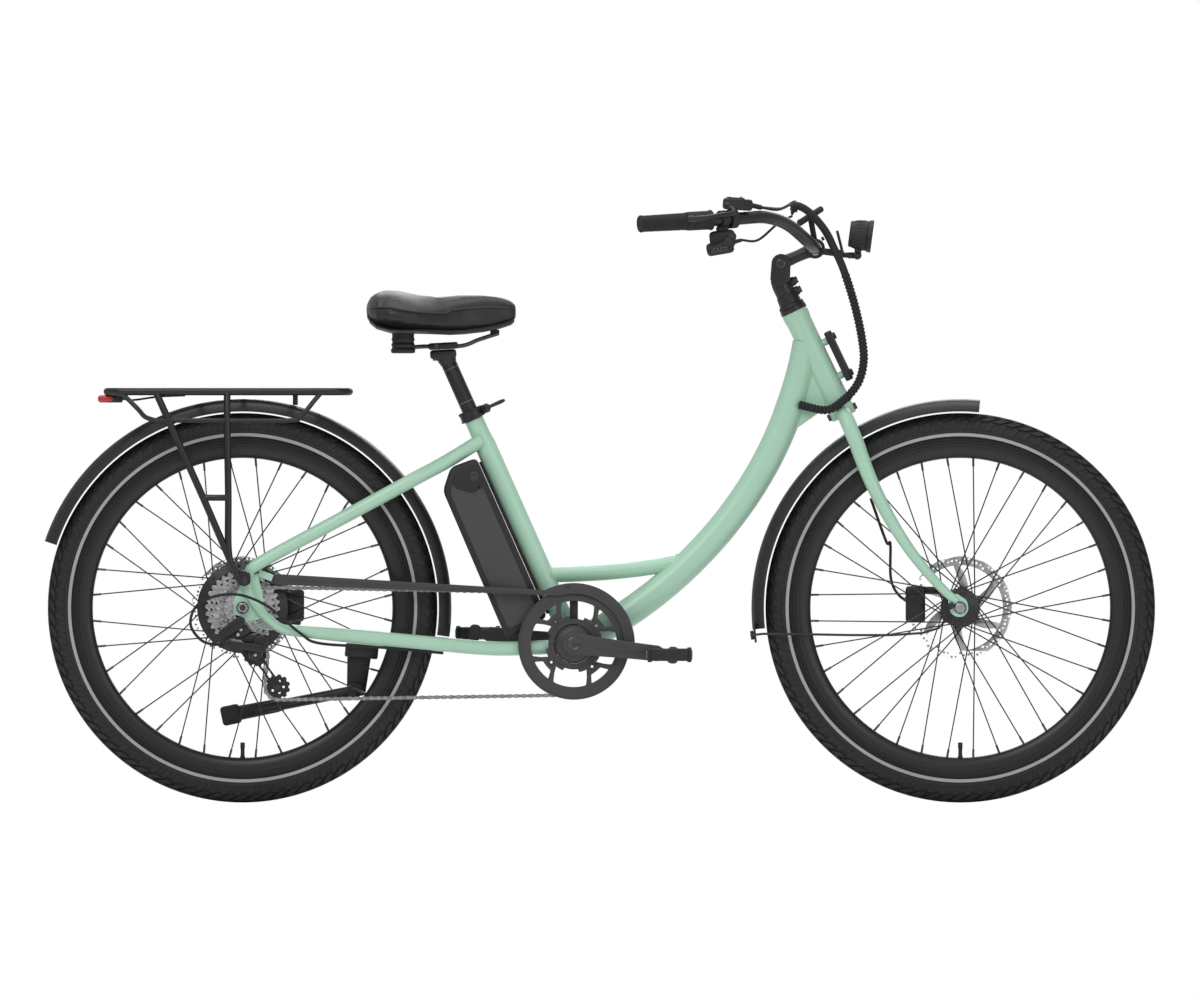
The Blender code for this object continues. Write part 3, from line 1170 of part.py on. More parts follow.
# ---------------------------------------------------------------- assembly
def build():
    named("frame", frame(), MINT)
    named("seat_clamp", seat_clamp(), BLACK)
    named("battery_rail", battery_rail(), BLACK)
    named("chain_guard", chain_guard(), PLASTIC)
    named("rear_rack", rear_rack(), BLACK)
    named("tail_light", tail_light(), RED)
    named("rear_fender", rear_fender(), PLASTIC)
    named("kickstand_bracket", kickstand_bracket(), BLACK)
    named("derailleur_body", derailleur_body(), BLACK)
    named("rear_brake_caliper", rear_caliper(), BLACK)
    named("rear_axle", rear_axle(), STEEL)
    named("chain", chain(), STEEL)
    named("shift_cable", shift_cable(), RUBBER)
    named("basket_bracket", basket_bracket(), BLACK)
    named("cable_loom", cable_loom(), RUBBER)

    steering = hub("steering_axis", steer(0, 0))
    named("fork", fork(), MINT, steering)
    named("stem_base", stem_base(), BLACK, steering)
    named("front_fender", front_fender(), PLASTIC, steering)
    named("fender_stay", fender_stay(), BLACK, steering)
    named("front_brake_caliper", front_caliper(), BLACK, steering)
    named("front_brake_hose", front_hose(), RUBBER, steering)
    named("front_axle", front_axle(), STEEL, steering)

    front = hub("front_wheel_axis", FRONT)
    named("front_tyre", tyre(FRONT), RUBBER, front)
    named("front_rim", rim(FRONT), BLACK, front)
    named("front_hub", front_hub(), BLACK, front)
    named("front_rotor", rotor(FRONT), STEEL, front)

    stem = hub("stem_tilt_axis", STEM_PIVOT)
    named("stem_link", stem_link(), BLACK, stem)
    named("handlebar", handlebar(), BLACK, stem)
    for word, side in (("right", -1), ("left", 1)):
        named("grip_" + word, grip(side), RUBBER, stem)
        named("brake_perch_" + word, brake_perch(side), PLASTIC, stem)
        lever = hub("brake_lever_axis_" + word, lever_pivot(side))
        named("brake_lever_" + word, brake_lever(side), BLACK, lever)
    named("shifter", shifter(), PLASTIC, stem)
    named("shift_lever", shift_lever(), PLASTIC, hub("shift_lever_axis", shift_pivot()))
    named("display", display(), PLASTIC, stem)
    named("headlight_bracket", headlight_bracket(), BLACK, stem)
    named("headlight", headlight(), PLASTIC, hub("headlight_axis", LAMP_PIVOT))

    rear = hub("rear_wheel_axis", REAR)
    named("rear_tyre", tyre(REAR), RUBBER, rear)
    named("rear_rim", rim(REAR), BLACK, rear)
    named("hub_motor", hub_motor(), BLACK, rear)
    named("rear_rotor", rotor(REAR), STEEL, rear)
    named("cassette", cassette(), STEEL, hub("cassette_axis", REAR))

    crank = hub("crank_axis", CRANK)
    named("crank_right", crank_right(), GREY, crank)
    named("crank_left", crank_left(), GREY, crank)
    named("chainring", chainring(), GREY, crank)
    named("pedal_right", pedal(RIGHT_PEDAL, -1), PLASTIC, hub("pedal_axis_right", RIGHT_PEDAL))
    named("pedal_left", pedal(LEFT_PEDAL, 1), PLASTIC, hub("pedal_axis_left", LEFT_PEDAL))

    named("derailleur_cage", derailleur_cage(), BLACK, hub("cage_axis", GUIDE))
    named("guide_pulley", pulley(GUIDE), PLASTIC, hub("guide_pulley_axis", GUIDE))
    named("tension_pulley", pulley(TENSION), PLASTIC, hub("tension_pulley_axis", TENSION))

    named("kickstand_leg", kickstand_leg(), BLACK, hub("kickstand_axis", STAND_PIVOT))
    post = hub("seatpost_axis", seat(SEAT_TUBE, 0))
    named("seat_post", seat_post(), BLACK, post)
    named("saddle_rails", saddle_rails(), BLACK, post)
    named("saddle", saddle(), LEATHER, post)
    named("clamp_lever", clamp_lever(), BLACK, hub("clamp_lever_axis", CLAMP_PIVOT))
    named("battery", battery(), GREY, hub("battery_axis", seat(0.060, 0.020)))


build()
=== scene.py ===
"""Looks of a step-through electric bicycle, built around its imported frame.

+X is forwards, +Y is the rider's left, +Z is up. Lengths are in metres.
"""
import math

import bmesh
import bpy
from mathutils import Matrix, Vector
from mathutils.geometry import convex_hull_2d


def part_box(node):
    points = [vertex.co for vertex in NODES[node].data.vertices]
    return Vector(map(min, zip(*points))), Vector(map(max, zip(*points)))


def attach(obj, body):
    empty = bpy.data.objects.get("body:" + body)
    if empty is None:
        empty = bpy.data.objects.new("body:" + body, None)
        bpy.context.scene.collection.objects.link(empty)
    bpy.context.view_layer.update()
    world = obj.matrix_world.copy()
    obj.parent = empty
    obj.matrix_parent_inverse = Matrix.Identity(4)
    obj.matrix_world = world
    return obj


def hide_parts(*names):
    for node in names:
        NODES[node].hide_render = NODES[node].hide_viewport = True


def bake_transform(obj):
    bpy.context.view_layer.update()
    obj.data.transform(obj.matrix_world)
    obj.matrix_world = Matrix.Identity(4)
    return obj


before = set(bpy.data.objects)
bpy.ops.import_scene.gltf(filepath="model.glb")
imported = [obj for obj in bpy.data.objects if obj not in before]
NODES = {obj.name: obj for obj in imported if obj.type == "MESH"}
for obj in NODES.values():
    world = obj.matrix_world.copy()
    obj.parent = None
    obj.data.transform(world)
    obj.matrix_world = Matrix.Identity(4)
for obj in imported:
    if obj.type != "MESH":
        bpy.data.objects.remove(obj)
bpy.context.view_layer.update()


def middle(node):
    """Centre of a frame node."""
    low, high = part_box(node)
    return (low + high) / 2


def direction(angle):
    """Unit vector in the bicycle's plane, in degrees above forwards."""
    return Vector((math.cos(math.radians(angle)), 0, math.sin(math.radians(angle))))


def off(origin, x, z, y=0.0):
    """Point that far ahead of, above and to the left of another."""
    return origin + Vector((x, y, z))


def spots(origin, *places):
    """Points by the origin, each given as ahead, up and left."""
    return [off(origin, *place) for place in places]


SIDE = Vector((0, 1, 0))
REAR = middle("rear_tyre")
FRONT = middle("front_tyre")
REAR.y = FRONT.y = 0
CRANK = middle("chainring")
CRANK.y = 0
TYRE_R = (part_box("front_tyre")[1].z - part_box("front_tyre")[0].z) / 2
HEAD_ANGLE = 25.5
STEER_UP = direction(90 + HEAD_ANGLE)
STEER_FORWARD = direction(HEAD_ANGLE)
FORK_LENGTH = math.sqrt((TYRE_R + 0.072) ** 2 - 0.0388 ** 2)
HEAD_LENGTH = 0.176
HEAD_TOP = FRONT - STEER_FORWARD * 0.0388 + STEER_UP * (FORK_LENGTH + HEAD_LENGTH + 0.004)
SEAT_UP = direction(114)
SEAT_BACK = direction(204)
FORK_TOP = -HEAD_LENGTH - 0.0045
FENDER_R = TYRE_R + 0.024
TREAD_R = 0.0275
DISC_FACE = 0.0405
CRANK_LENGTH = 0.168
CRANK_PITCH = -6.4
RING_TEETH = 44
RUNNING_TEETH = 18
PULLEY_TEETH = 11
SPROCKETS = (11, 13, 15, 18, 21, 24, 28, 32)
SPOKES = 36
LOOM_STEP = 0.0016
CLOTH_STEPS = 20
CLOTH_REACH = 0.005


def steer(up, forward, y=0.0):
    """Point by the steering axis, measured from the head tube's top."""
    return HEAD_TOP + STEER_UP * up + STEER_FORWARD * forward + SIDE * y


def seat(up, back, y=0.0):
    """Point by the seat tube, measured from the crank's axis."""
    return CRANK + SEAT_UP * up + SEAT_BACK * back + SIDE * y


def smooth(points, per_span=6):
    """Catmull-Rom curve through the points."""
    ends = [points[0] * 2 - points[1]] + list(points) + [points[-1] * 2 - points[-2]]
    curve = []
    for a, b, c, d in zip(ends, ends[1:], ends[2:], ends[3:]):
        for i in range(per_span):
            t = i / per_span
            curve.append((b * 2 + (c - a) * t + (a * 2 - b * 5 + c * 4 - d) * t * t
                    + (b * 3 - a - c * 3 + d) * t ** 3) / 2)
    return curve + [points[-1]]


def bezier(a, b, c, d, count):
    """Cubic curve with two end points and two handles."""
    points = []
    for i in range(count + 1):
        t = i / count
        u = 1 - t
        points.append(a * u ** 3 + b * 3 * u * u * t + c * 3 * u * t * t + d * t ** 3)
    return points


# ---------------------------------------------------------------- materials
def finish_of(name, colour, roughness, metallic=0.0, grain=0.0, scale=600.0, vary=0.12, coat=0.0,
              second=None, patch=14.0, sheen=0.0):
    """Shader with small colour and roughness changes and a fine grain in its surface."""
    made = bpy.data.materials.new(name)
    made.use_nodes = True
    tree = made.node_tree
    shader = tree.nodes["Principled BSDF"]
    shader.inputs["Metallic"].default_value = metallic
    shader.inputs["Coat Weight"].default_value = coat
    shader.inputs["Coat Roughness"].default_value = 0.18
    shader.inputs["Sheen Weight"].default_value = sheen
    where = tree.nodes.new("ShaderNodeTexCoord")
    cloud = tree.nodes.new("ShaderNodeTexNoise")
    cloud.inputs["Scale"].default_value = patch
    cloud.inputs["Detail"].default_value = 5
    tree.links.new(where.outputs["Object"], cloud.inputs["Vector"])
    ramp = tree.nodes.new("ShaderNodeValToRGB")
    other = second or tuple(c * (1 - vary) for c in colour)
    ramp.color_ramp.elements[0].position = 0.3
    ramp.color_ramp.elements[0].color = (*other, 1)
    ramp.color_ramp.elements[1].position = 0.7
    ramp.color_ramp.elements[1].color = (*colour, 1)
    tree.links.new(cloud.outputs["Fac"], ramp.inputs["Fac"])
    tree.links.new(ramp.outputs["Color"], shader.inputs["Base Color"])
    dull = tree.nodes.new("ShaderNodeMapRange")
    dull.inputs["To Min"].default_value = max(0.05, roughness - 0.06)
    dull.inputs["To Max"].default_value = min(1.0, roughness + 0.06)
    tree.links.new(cloud.outputs["Fac"], dull.inputs["Value"])
    tree.links.new(dull.outputs["Result"], shader.inputs["Roughness"])
    if grain:
        fine = tree.nodes.new("ShaderNodeTexNoise")
        fine.inputs["Scale"].default_value = scale
        fine.inputs["Detail"].default_value = 3
        tree.links.new(where.outputs["Object"], fine.inputs["Vector"])
        bump = tree.nodes.new("ShaderNodeBump")
        bump.inputs["Strength"].default_value = grain
        bump.inputs["Distance"].default_value = 0.0004
        tree.links.new(fine.outputs["Fac"], bump.inputs["Height"])
        tree.links.new(bump.outputs["Normal"], shader.inputs["Normal"])
    return made


MINT = finish_of("mint_paint", (0.445, 0.715, 0.545), 0.36, grain=0.05, scale=900, vary=0.05, coat=0.35)
BLACK = finish_of("black_paint", (0.013, 0.013, 0.0135), 0.40, grain=0.12, scale=1500, vary=0.25, coat=0.1)
GLOSS = finish_of("gloss_black", (0.016, 0.016, 0.017), 0.22, vary=0.2, coat=0.3)
PLASTIC = finish_of("black_plastic", (0.015, 0.015, 0.016), 0.50, grain=0.35, scale=1800, vary=0.2)
FENDER_BLACK = finish_of("fender_plastic", (0.022, 0.022, 0.023), 0.38, grain=0.10, scale=1200, vary=0.15)
RUBBER = finish_of("tyre_rubber", (0.023, 0.023, 0.024), 0.75, grain=0.5, scale=700, vary=0.3)
SOFT = finish_of("grip_rubber", (0.014, 0.014, 0.0145), 0.68, grain=0.6, scale=1600, vary=0.25)
GREY = finish_of("dark_grey", (0.052, 0.052, 0.054), 0.48, grain=0.2, scale=1500, vary=0.12)
SLATE = finish_of("slate_grey", (0.058, 0.058, 0.060), 0.50, grain=0.25, scale=1600, vary=0.08)
STEEL = finish_of("bright_steel", (0.60, 0.60, 0.61), 0.30, 1.0, grain=0.15, scale=500, vary=0.25, patch=60)
CHROME = finish_of("polished_steel", (0.75, 0.75, 0.76), 0.16, 1.0, vary=0.1, patch=40)
CHAIN_METAL = finish_of("chain_steel", (0.42, 0.42, 0.43), 0.34, 1.0, grain=0.2, scale=800, vary=0.4, patch=120)
DARK_METAL = finish_of("dark_metal", (0.10, 0.10, 0.105), 0.38, 0.9, grain=0.2, scale=900, vary=0.3, patch=50)
STRIPE = finish_of("reflective_stripe", (0.40, 0.41, 0.41), 0.45, grain=0.3, scale=2200, vary=0.10)
LEATHER = finish_of("saddle_cover", (0.017, 0.017, 0.0175), 0.42, grain=0.9, scale=420, vary=0.3, sheen=0.1)
RED = finish_of("red_lens", (0.55, 0.035, 0.025), 0.18, grain=0.3, scale=240, vary=0.45, coat=0.5)
AMBER = finish_of("amber_reflector", (0.85, 0.30, 0.03), 0.25, grain=0.4, scale=300, vary=0.35, coat=0.4)
LENS = finish_of("clear_lens", (0.70, 0.72, 0.74), 0.08, grain=0.3, scale=180, vary=0.3, coat=0.6, patch=60)
SCREEN = finish_of("display_glass", (0.012, 0.013, 0.016), 0.08, vary=0.3, coat=0.8)
LINE = finish_of("pale_marks", (0.45, 0.46, 0.47), 0.5, vary=0.1)
GREEN = finish_of("green_marks", (0.05, 0.42, 0.16), 0.5, vary=0.2)
STITCH = finish_of("stitch_thread", (0.055, 0.055, 0.057), 0.7, vary=0.3, patch=300)


# ---------------------------------------------------------------- pieces
class Piece:
    """Gathers closed shapes into one mesh, each with its own material."""

    def __init__(self, name, material):
        self.name = name
        self.work = bmesh.new()
        self.materials = [material]
        self.current = 0
        self.matrix = Matrix.Identity(4)

    def use(self, material):
        """Sets the material of what is added next."""
        if material not in self.materials:
            self.materials.append(material)
        self.current = self.materials.index(material)
        return self

    def take(self, other, matrix=None):
        """Adds another bmesh, in its own place or moved, and frees it."""
        bmesh.ops.recalc_face_normals(other, faces=other.faces)
        if other.calc_volume(signed=True) < 0:
            bmesh.ops.reverse_faces(other, faces=other.faces)
        for face in other.faces:
            face.material_index = self.current
        mesh = bpy.data.meshes.new("part")
        if matrix:
            other.transform(matrix)
        other.to_mesh(mesh)
        other.free()
        self.work.from_mesh(mesh)
        bpy.data.meshes.remove(mesh)

    def lathe(self, origin, axis, profile, steps=32, closed=False):
        """Turns (distance along the axis, radius) points about the axis."""
        other = bmesh.new()
        rows = []
        for i in range(steps):
            angle = 2 * math.pi * i / steps
            c, s = math.cos(angle), math.sin(angle)
            rows.append([other.verts.new((radius * c, radius * s, along)) for along, radius in profile])
        count = len(profile)
        spans = count if closed else count - 1
        for i in range(steps):
            a, b = rows[i], rows[(i + 1) % steps]
            for k in range(spans):
                m = (k + 1) % count
                other.faces.new((a[k], b[k], b[m], a[m]))
        if not closed:
            other.faces.new([r[0] for r in rows])
            other.faces.new([r[-1] for r in reversed(rows)])
        turn = axis.to_track_quat("Z", "Y").to_matrix().to_4x4()
        self.take(other, Matrix.Translation(origin) @ turn)
        return self

    def collar(self, start, axis, inner, outer, length, lip=0.001, steps=36):
        """Clamp ring with its outer rims broken."""
        profile = [(0, inner), (0, outer - lip), (0.001, outer), (length - 0.001, outer), (length, outer - lip),
                (length, inner)]
        return self.lathe(start, axis, profile, steps, closed=True)

    def rod(self, start, end, radius, end_radius=None, steps=24, edge=None):
        """Turned bar with rounded rims."""
        run = end - start
        length = run.length
        last = radius if end_radius is None else end_radius
        edge = min(0.0012, length * 0.2, radius * 0.3, last * 0.3) if edge is None else edge
        profile = [(0, radius - edge), (edge * 0.3, radius - edge * 0.3), (edge, radius), (length - edge, last),
                (length - edge * 0.3, last - edge * 0.3), (length, last - edge)]
        return self.lathe(start, run, profile, steps)

    def sweep(self, points, radius, radii=None, sides=16, flat=1.0, closed=False, caps=True):
        """Tube along points; flat scales the section across the bicycle's plane."""
        other = bmesh.new()
        count = len(points)
        rows = []
        normal = None
        for i, point in enumerate(points):
            before = points[i - 1] if (i or closed) else point
            after = points[(i + 1) % count] if (i < count - 1 or closed) else point
            run = (after - before).normalized()
            if normal is None:
                normal = run.cross(SIDE)
                if normal.length < 0.2:
                    normal = run.cross(Vector((0, 0, 1)))
                normal.normalize()
            normal = (normal - run * normal.dot(run)).normalized()
            across = run.cross(normal)
            r = radii[i] if radii else radius
            rows.append([other.verts.new(point + (normal * math.cos(t) + across * math.sin(t) * flat) * r)
                    for t in (2 * math.pi * k / sides for k in range(sides))])
        for i in range(count if closed else count - 1):
            a, b = rows[i], rows[(i + 1) % count]
            for k in range(sides):
                m = (k + 1) % sides
                other.faces.new((a[k], a[m], b[m], b[k]))
        if not closed and caps:
            other.faces.new(rows[0])
            other.faces.new(list(reversed(rows[-1])))
        self.take(other)
        return self

    def block(self, centre, size, pitch=0.0, bevel=0.001, yaw=0.0, roll=0.0, segments=2):
        """Rounded box, turned by pitch, yaw and roll in degrees."""
        other = bmesh.new()
        bmesh.ops.create_cube(other, size=1)
        other.transform(Matrix.Diagonal((*size, 1)))
        bevel = min(bevel, min(size) * 0.45)
        bmesh.ops.bevel(other, geom=list(other.edges), offset=bevel, segments=segments, profile=0.5, affect="EDGES")
        turn = (Matrix.Rotation(-math.radians(pitch), 4, "Y") @ Matrix.Rotation(math.radians(yaw), 4, "Z")
                @ Matrix.Rotation(math.radians(roll), 4, "X"))
        self.take(other, Matrix.Translation(centre) @ turn)
        return self

    def plate(self, outline, low_y, high_y, holes=(), bevel=0.0006, depth=1):
        """Plate in the bicycle's plane with rounded edges."""
        curve = bpy.data.curves.new("plate", "CURVE")
        curve.dimensions = "2D"
        curve.fill_mode = "BOTH"
        bevel = min(bevel, (high_y - low_y) * 0.45)
        curve.extrude = (high_y - low_y) / 2 - bevel
        curve.bevel_depth = bevel
        curve.bevel_resolution = depth
        curve.offset = -bevel
        for loop in (outline, *holes):
            spline = curve.splines.new("POLY")
            spline.use_cyclic_u = True
            spline.points.add(len(loop) - 1)
            for i, point in enumerate(loop):
                spline.points[i].co = (point.x, point.z, 0, 1)
        made = bpy.data.objects.new("plate", curve)
        bpy.context.scene.collection.objects.link(made)
        bpy.context.view_layer.update()
        mesh = bpy.data.meshes.new_from_object(made.evaluated_get(bpy.context.evaluated_depsgraph_get()))
        bpy.data.objects.remove(made, do_unlink=True)
        other = bmesh.new()
        other.from_mesh(mesh)
        bpy.data.meshes.remove(mesh)
        bmesh.ops.remove_doubles(other, verts=other.verts, dist=1e-6)
        turn = Matrix.Translation((0, (low_y + high_y) / 2, 0)) @ Matrix.Rotation(math.radians(90), 4, "X")
        self.take(other, turn)
        return self

    def loft(self, rings):
        """Closed skin through rings of equal length."""
        other = bmesh.new()
        rows = [[other.verts.new(p) for p in ring] for ring in rings]
        for a, b in zip(rows, rows[1:]):
            for k in range(len(a)):
                m = (k + 1) % len(a)
                other.faces.new((a[k], a[m], b[m], b[k]))
        other.faces.new(rows[0])
        other.faces.new(list(reversed(rows[-1])))
        self.take(other)
        return self

    def done(self, body, replaces=(), sharp=38, ride=True):
        """Makes the object, hangs it on its body and hides the nodes it stands for."""
        mesh = bpy.data.meshes.new(self.name)
        self.work.to_mesh(mesh)
        self.work.free()
        for material in self.materials:
            mesh.materials.append(material)
        made = bpy.data.objects.new(self.name, mesh)
        bpy.context.scene.collection.objects.link(made)
        mesh.shade_smooth()
        mesh.set_sharp_from_angle(angle=math.radians(sharp))
        if ride:
            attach(made, body)
        if replaces:
            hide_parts(*replaces)
        return made


def circle(centre, radius, count=48, start=0.0):
    """Closed round outline."""
    return [centre + direction(start + 360 * i / count) * radius for i in range(count)]


def arc(centre, radius, start, end, count):
    """Open round stretch between two angles."""
    return [centre + direction(start + (end - start) * i / count) * radius for i in range(count + 1)]


def rounded(points, radius, count=4):
    """Outline with its corners rounded off."""
    made = []
    for i, point in enumerate(points):
        before, after = points[i - 1] - point, points[(i + 1) % len(points)] - point
        reach = min(radius, before.length * 0.45, after.length * 0.45)
        a, b = point + before.normalized() * reach, point + after.normalized() * reach
        for k in range(count + 1):
            t = k / count
            made.append(a * (1 - t) ** 2 + point * 2 * t * (1 - t) + b * t * t)
    return made


def hull(points):
    """Outline that wraps all the points in the bicycle's plane."""
    order = convex_hull_2d([(p.x, p.z) for p in points])
    return [points[i] for i in order]


def bolt(piece, point, outward, radius=0.0045, height=0.004, material=DARK_METAL):
    """Socket-head bolt with a recessed hexagon."""
    kept = piece.current
    piece.use(material)
    piece.lathe(point, outward, [(0, radius), (height * 0.75, radius), (height, radius * 0.85),
            (height, radius * 0.5), (height * 0.45, radius * 0.48), (height * 0.45, radius * 0.1)], 18)
    piece.current = kept


# ---------------------------------------------------------------- wheels
def tyre(name, centre, node, body):
    """Carcass with a reflective stripe on both walls and blocks of tread."""
    piece = Piece(name, RUBBER)
    half = 0.0296
    crown = TYRE_R - 0.0036
    section = []
    for i in range(25):
        t = math.radians(-118 + 236 * i / 24)
        section.append((half * math.sin(t) * (1.0 if abs(t) < math.pi / 2 else 0.96), crown - TREAD_R
                + TREAD_R * math.cos(t)))
    section = [(-0.015, 0.2846)] + section + [(0.015, 0.2846)]
    piece.lathe(centre, SIDE, section, 160, closed=True)
    piece.use(STRIPE)
    for side in (-1, 1):
        profile = [(0.0285 * side, 0.2992), (0.03 * side, 0.2994), (0.0302 * side, 0.3046), (0.0286 * side,
                0.305)]
        piece.lathe(centre, SIDE, profile, 160, closed=True)
    piece.use(RUBBER)
    for side in (-1, 1):
        for radius, width in ((0.2945, 0.001), (0.2895, 0.0012), (0.312, 0.0008)):
            y = half * (1.0 if radius > 0.298 else 0.94) * side
            piece.lathe(centre, SIDE, [(y * 0.97, radius - width), (y * 1.012, radius - width * 0.4),
                    (y * 1.012, radius + width * 0.4), (y * 0.97, radius + width)], 120, closed=True)
    count = 92
    other = bmesh.new()

    def wall(around, over):
        """Point on the tread: around the axle and over the crown, with its outward direction."""
        t = math.radians(over)
        out = direction(around) * math.cos(t) + SIDE * math.sin(t)
        return centre + direction(around) * (crown - TREAD_R) + out * TREAD_R + SIDE * math.sin(t) * 0.0021, out

    for i in range(count):
        base = 360 * i / count
        step = 360 / count
        for side in (-1, 1):
            for first, last, lean0, lean1, width, height in ((2, 22, 0.0, 0.6, 0.66, 0.0034), (27, 50, 0.2, 0.85,
                    0.62, 0.0031), (54, 84, 0.3, 0.62, 0.46, 0.0022)):
                corners = []
                for over, lean in ((first, lean0), (last, lean1)):
                    for edge in (0.0, width):
                        around = base + step * (lean + edge + (0.5 if side > 0 else 0.0))
                        corners.append(wall(around, over * side))
                low = [p - out * 0.0012 for p, out in corners]
                high = [p + out * height for p, out in corners]
                v = [other.verts.new(p) for p in low + high]
                for quad in ((0, 1, 3, 2), (4, 6, 7, 5), (0, 4, 5, 1), (2, 3, 7, 6), (0, 2, 6, 4), (1, 5, 7, 3)):
                    other.faces.new([v[q] for q in quad])
    piece.take(other)
    return piece.done(body, (node,))


def rim(name, centre, node, body):
    """Deep double-wall rim with its tyre edges and valve."""
    piece = Piece(name, BLACK)
    piece.lathe(centre, SIDE, [(-0.016, 0.2838), (-0.0162, 0.28), (-0.0145, 0.269), (-0.01, 0.263),
            (-0.005, 0.2612), (0.005, 0.2612), (0.01, 0.263), (0.0145, 0.269), (0.0162, 0.28),
            (0.016, 0.2838)], 144, closed=True)
    for side in (-1, 1):
        piece.lathe(centre, SIDE, [(0.014 * side, 0.2835), (0.0168 * side, 0.2838), (0.0172 * side, 0.286),
                (0.015 * side, 0.2866)], 144, closed=True)
    piece.use(PLASTIC)
    valve = off(centre, 0, -0.2612)
    piece.lathe(valve, Vector((0, 0, 1)), [(-0.004, 0.0045), (0.002, 0.0045), (0.003, 0.0036), (0.015, 0.0034),
            (0.016, 0.004), (0.0255, 0.004), (0.0265, 0.003)], 16)
    return piece.done(body, (node,))


def lacing(piece, centre, flange_r, flange_y, small):
    """Crossed spokes with their nipples and bent heads."""
    for i in range(SPOKES):
        side = 1 if i % 2 else -1
        lean = 1 if (i // 2) % 2 else -1
        angle = 360 * (i + 0.5) / SPOKES
        hub_angle = angle + lean * 58 * (1 if small else 0.5)
        inner = centre + direction(hub_angle) * (flange_r - 0.0055) + SIDE * (flange_y + 0.0018 * lean) * side
        outer = centre + direction(angle) * 0.26 + SIDE * (0.006 + 0.0015 * lean) * side
        piece.use(BLACK)
        piece.rod(inner, outer, 0.00115, steps=8, edge=0.0001)
        run = (outer - inner).normalized()
        piece.use(DARK_METAL)
        piece.rod(outer - run * 0.0125, outer + run * 0.0025, 0.002, steps=8, edge=0.0003)
        piece.rod(inner - SIDE * 0.0028 * side, inner + SIDE * 0.0028 * side, 0.002, steps=8, edge=0.0004)


def front_hub():
    """Hub with two flanges, disc bolts and its spokes."""
    piece = Piece("hub_front", BLACK)
    piece.lathe(FRONT, SIDE, [(-0.0386, 0.0085), (-0.038, 0.013), (-0.0355, 0.0165), (-0.0348, 0.032),
            (-0.0335, 0.0345), (-0.0295, 0.0345), (-0.0275, 0.0315), (-0.024, 0.0185), (-0.014, 0.0152),
            (0.014, 0.0152), (0.024, 0.0185), (0.0275, 0.0315), (0.0295, 0.0345), (0.0335, 0.0345),
            (0.035, 0.0325), (0.0378, 0.023), (0.0384, 0.0192), (0.044, 0.019), (0.0448, 0.0175),
            (0.0448, 0.0085)], 48, closed=True)
    lacing(piece, FRONT, 0.034, 0.0315, True)
    for i in range(6):
        bolt(piece, FRONT + direction(60 * i + 12) * 0.0162 + SIDE * 0.044, SIDE, 0.0028, 0.0022)
    return piece.done("front_wheel", ("front_hub",))


def hub_motor():
    """Closed motor shell with flanges, cover bolts and its spokes."""
    piece = Piece("motor_rear", BLACK)
    piece.lathe(REAR, SIDE, [(-0.0305, 0.0085), (-0.0305, 0.023), (-0.0298, 0.026), (-0.0298, 0.064),
            (-0.0292, 0.0675), (-0.0282, 0.069), (-0.0278, 0.0775), (-0.0262, 0.0795), (-0.018, 0.0795),
            (-0.0172, 0.076), (0.0172, 0.076), (0.018, 0.0795), (0.0262, 0.0795), (0.028, 0.0772),
            (0.029, 0.069), (0.03, 0.06), (0.034, 0.045), (0.0382, 0.028), (0.0384, 0.0192),
            (0.046, 0.019), (0.0465, 0.0085)], 72, closed=True)
    lacing(piece, REAR, 0.0795, 0.0225, False)
    for i in range(9):
        for side in (-1, 1):
            bolt(piece, REAR + direction(40 * i + 15) * 0.0735 + SIDE * 0.0276 * side, SIDE * side, 0.0028, 0.0022)
    return piece.done("rear_wheel", ("hub_motor",))


def rotor(name, centre, node, body):
    """Brake disc with its ring of holes and curved arms."""
    piece = Piece(name, STEEL)
    low, high = DISC_FACE - 0.0018, DISC_FACE
    outline = []
    for i in range(144):
        wave = 0.0008 * math.cos(12 * math.radians(360 * i / 144))
        outline.append(centre + direction(360 * i / 144) * (0.0893 + wave))
    holes = [circle(centre, 0.0745, 96)]
    for i in range(36):
        row = (0.0788, 0.0828, 0.0868)[i % 3]
        holes.append(circle(centre + direction(10 * i) * row, 0.0021, 10))
        holes.append(circle(centre + direction(10 * i + 4.6) * (row - 0.001 if row > 0.08 else row + 0.004), 0.0016,
                8))
    piece.plate(outline, low, high, holes, bevel=0.0002)
    for i in range(6):
        start = 60 * i + 6
        left = [centre + direction(start + 26 * t) * (0.0325 + 0.0425 * t) for t in (0, 0.25, 0.5, 0.75, 1.0)]
        right = [centre + direction(start + 26 * t + 26 * (1 - t * 0.72)) * (0.0325 + 0.0425 * t) for t in (1.0,
                0.75, 0.5, 0.25, 0)]
        piece.plate(left + right, low, high, bevel=0.0002)
    piece.plate(circle(centre, 0.0345, 64), low, high, [circle(centre, 0.0198, 32)], bevel=0.0002)
    return piece.done(body, (node,))


# ---------------------------------------------------------------- fenders
def fender(piece, centre, start, end, steps):
    """Curved channel with rolled edges and a raised middle."""
    half = 0.034
    top = FENDER_R - 0.0012
    section = []
    for i in range(17):
        y = -half + 2 * half * i / 16
        u = abs(y) / half
        section.append((y, top - 0.0185 * u ** 3.2 + (0.0004 if u < 0.35 else 0.0)))
    outer = [(y, r + 0.0011) for y, r in section]
    inner = [(y * 0.972, r - 0.0013) for y, r in reversed(section)]
    loop = outer + [(half * 0.99, section[-1][1] - 0.002)] + inner + [(-half * 0.99, section[-1][1] - 0.002)]
    rings = []
    for i in range(steps + 1):
        angle = start + (end - start) * i / steps
        rings.append([centre + direction(angle) * r + SIDE * y for y, r in loop])
    piece.loft(rings)


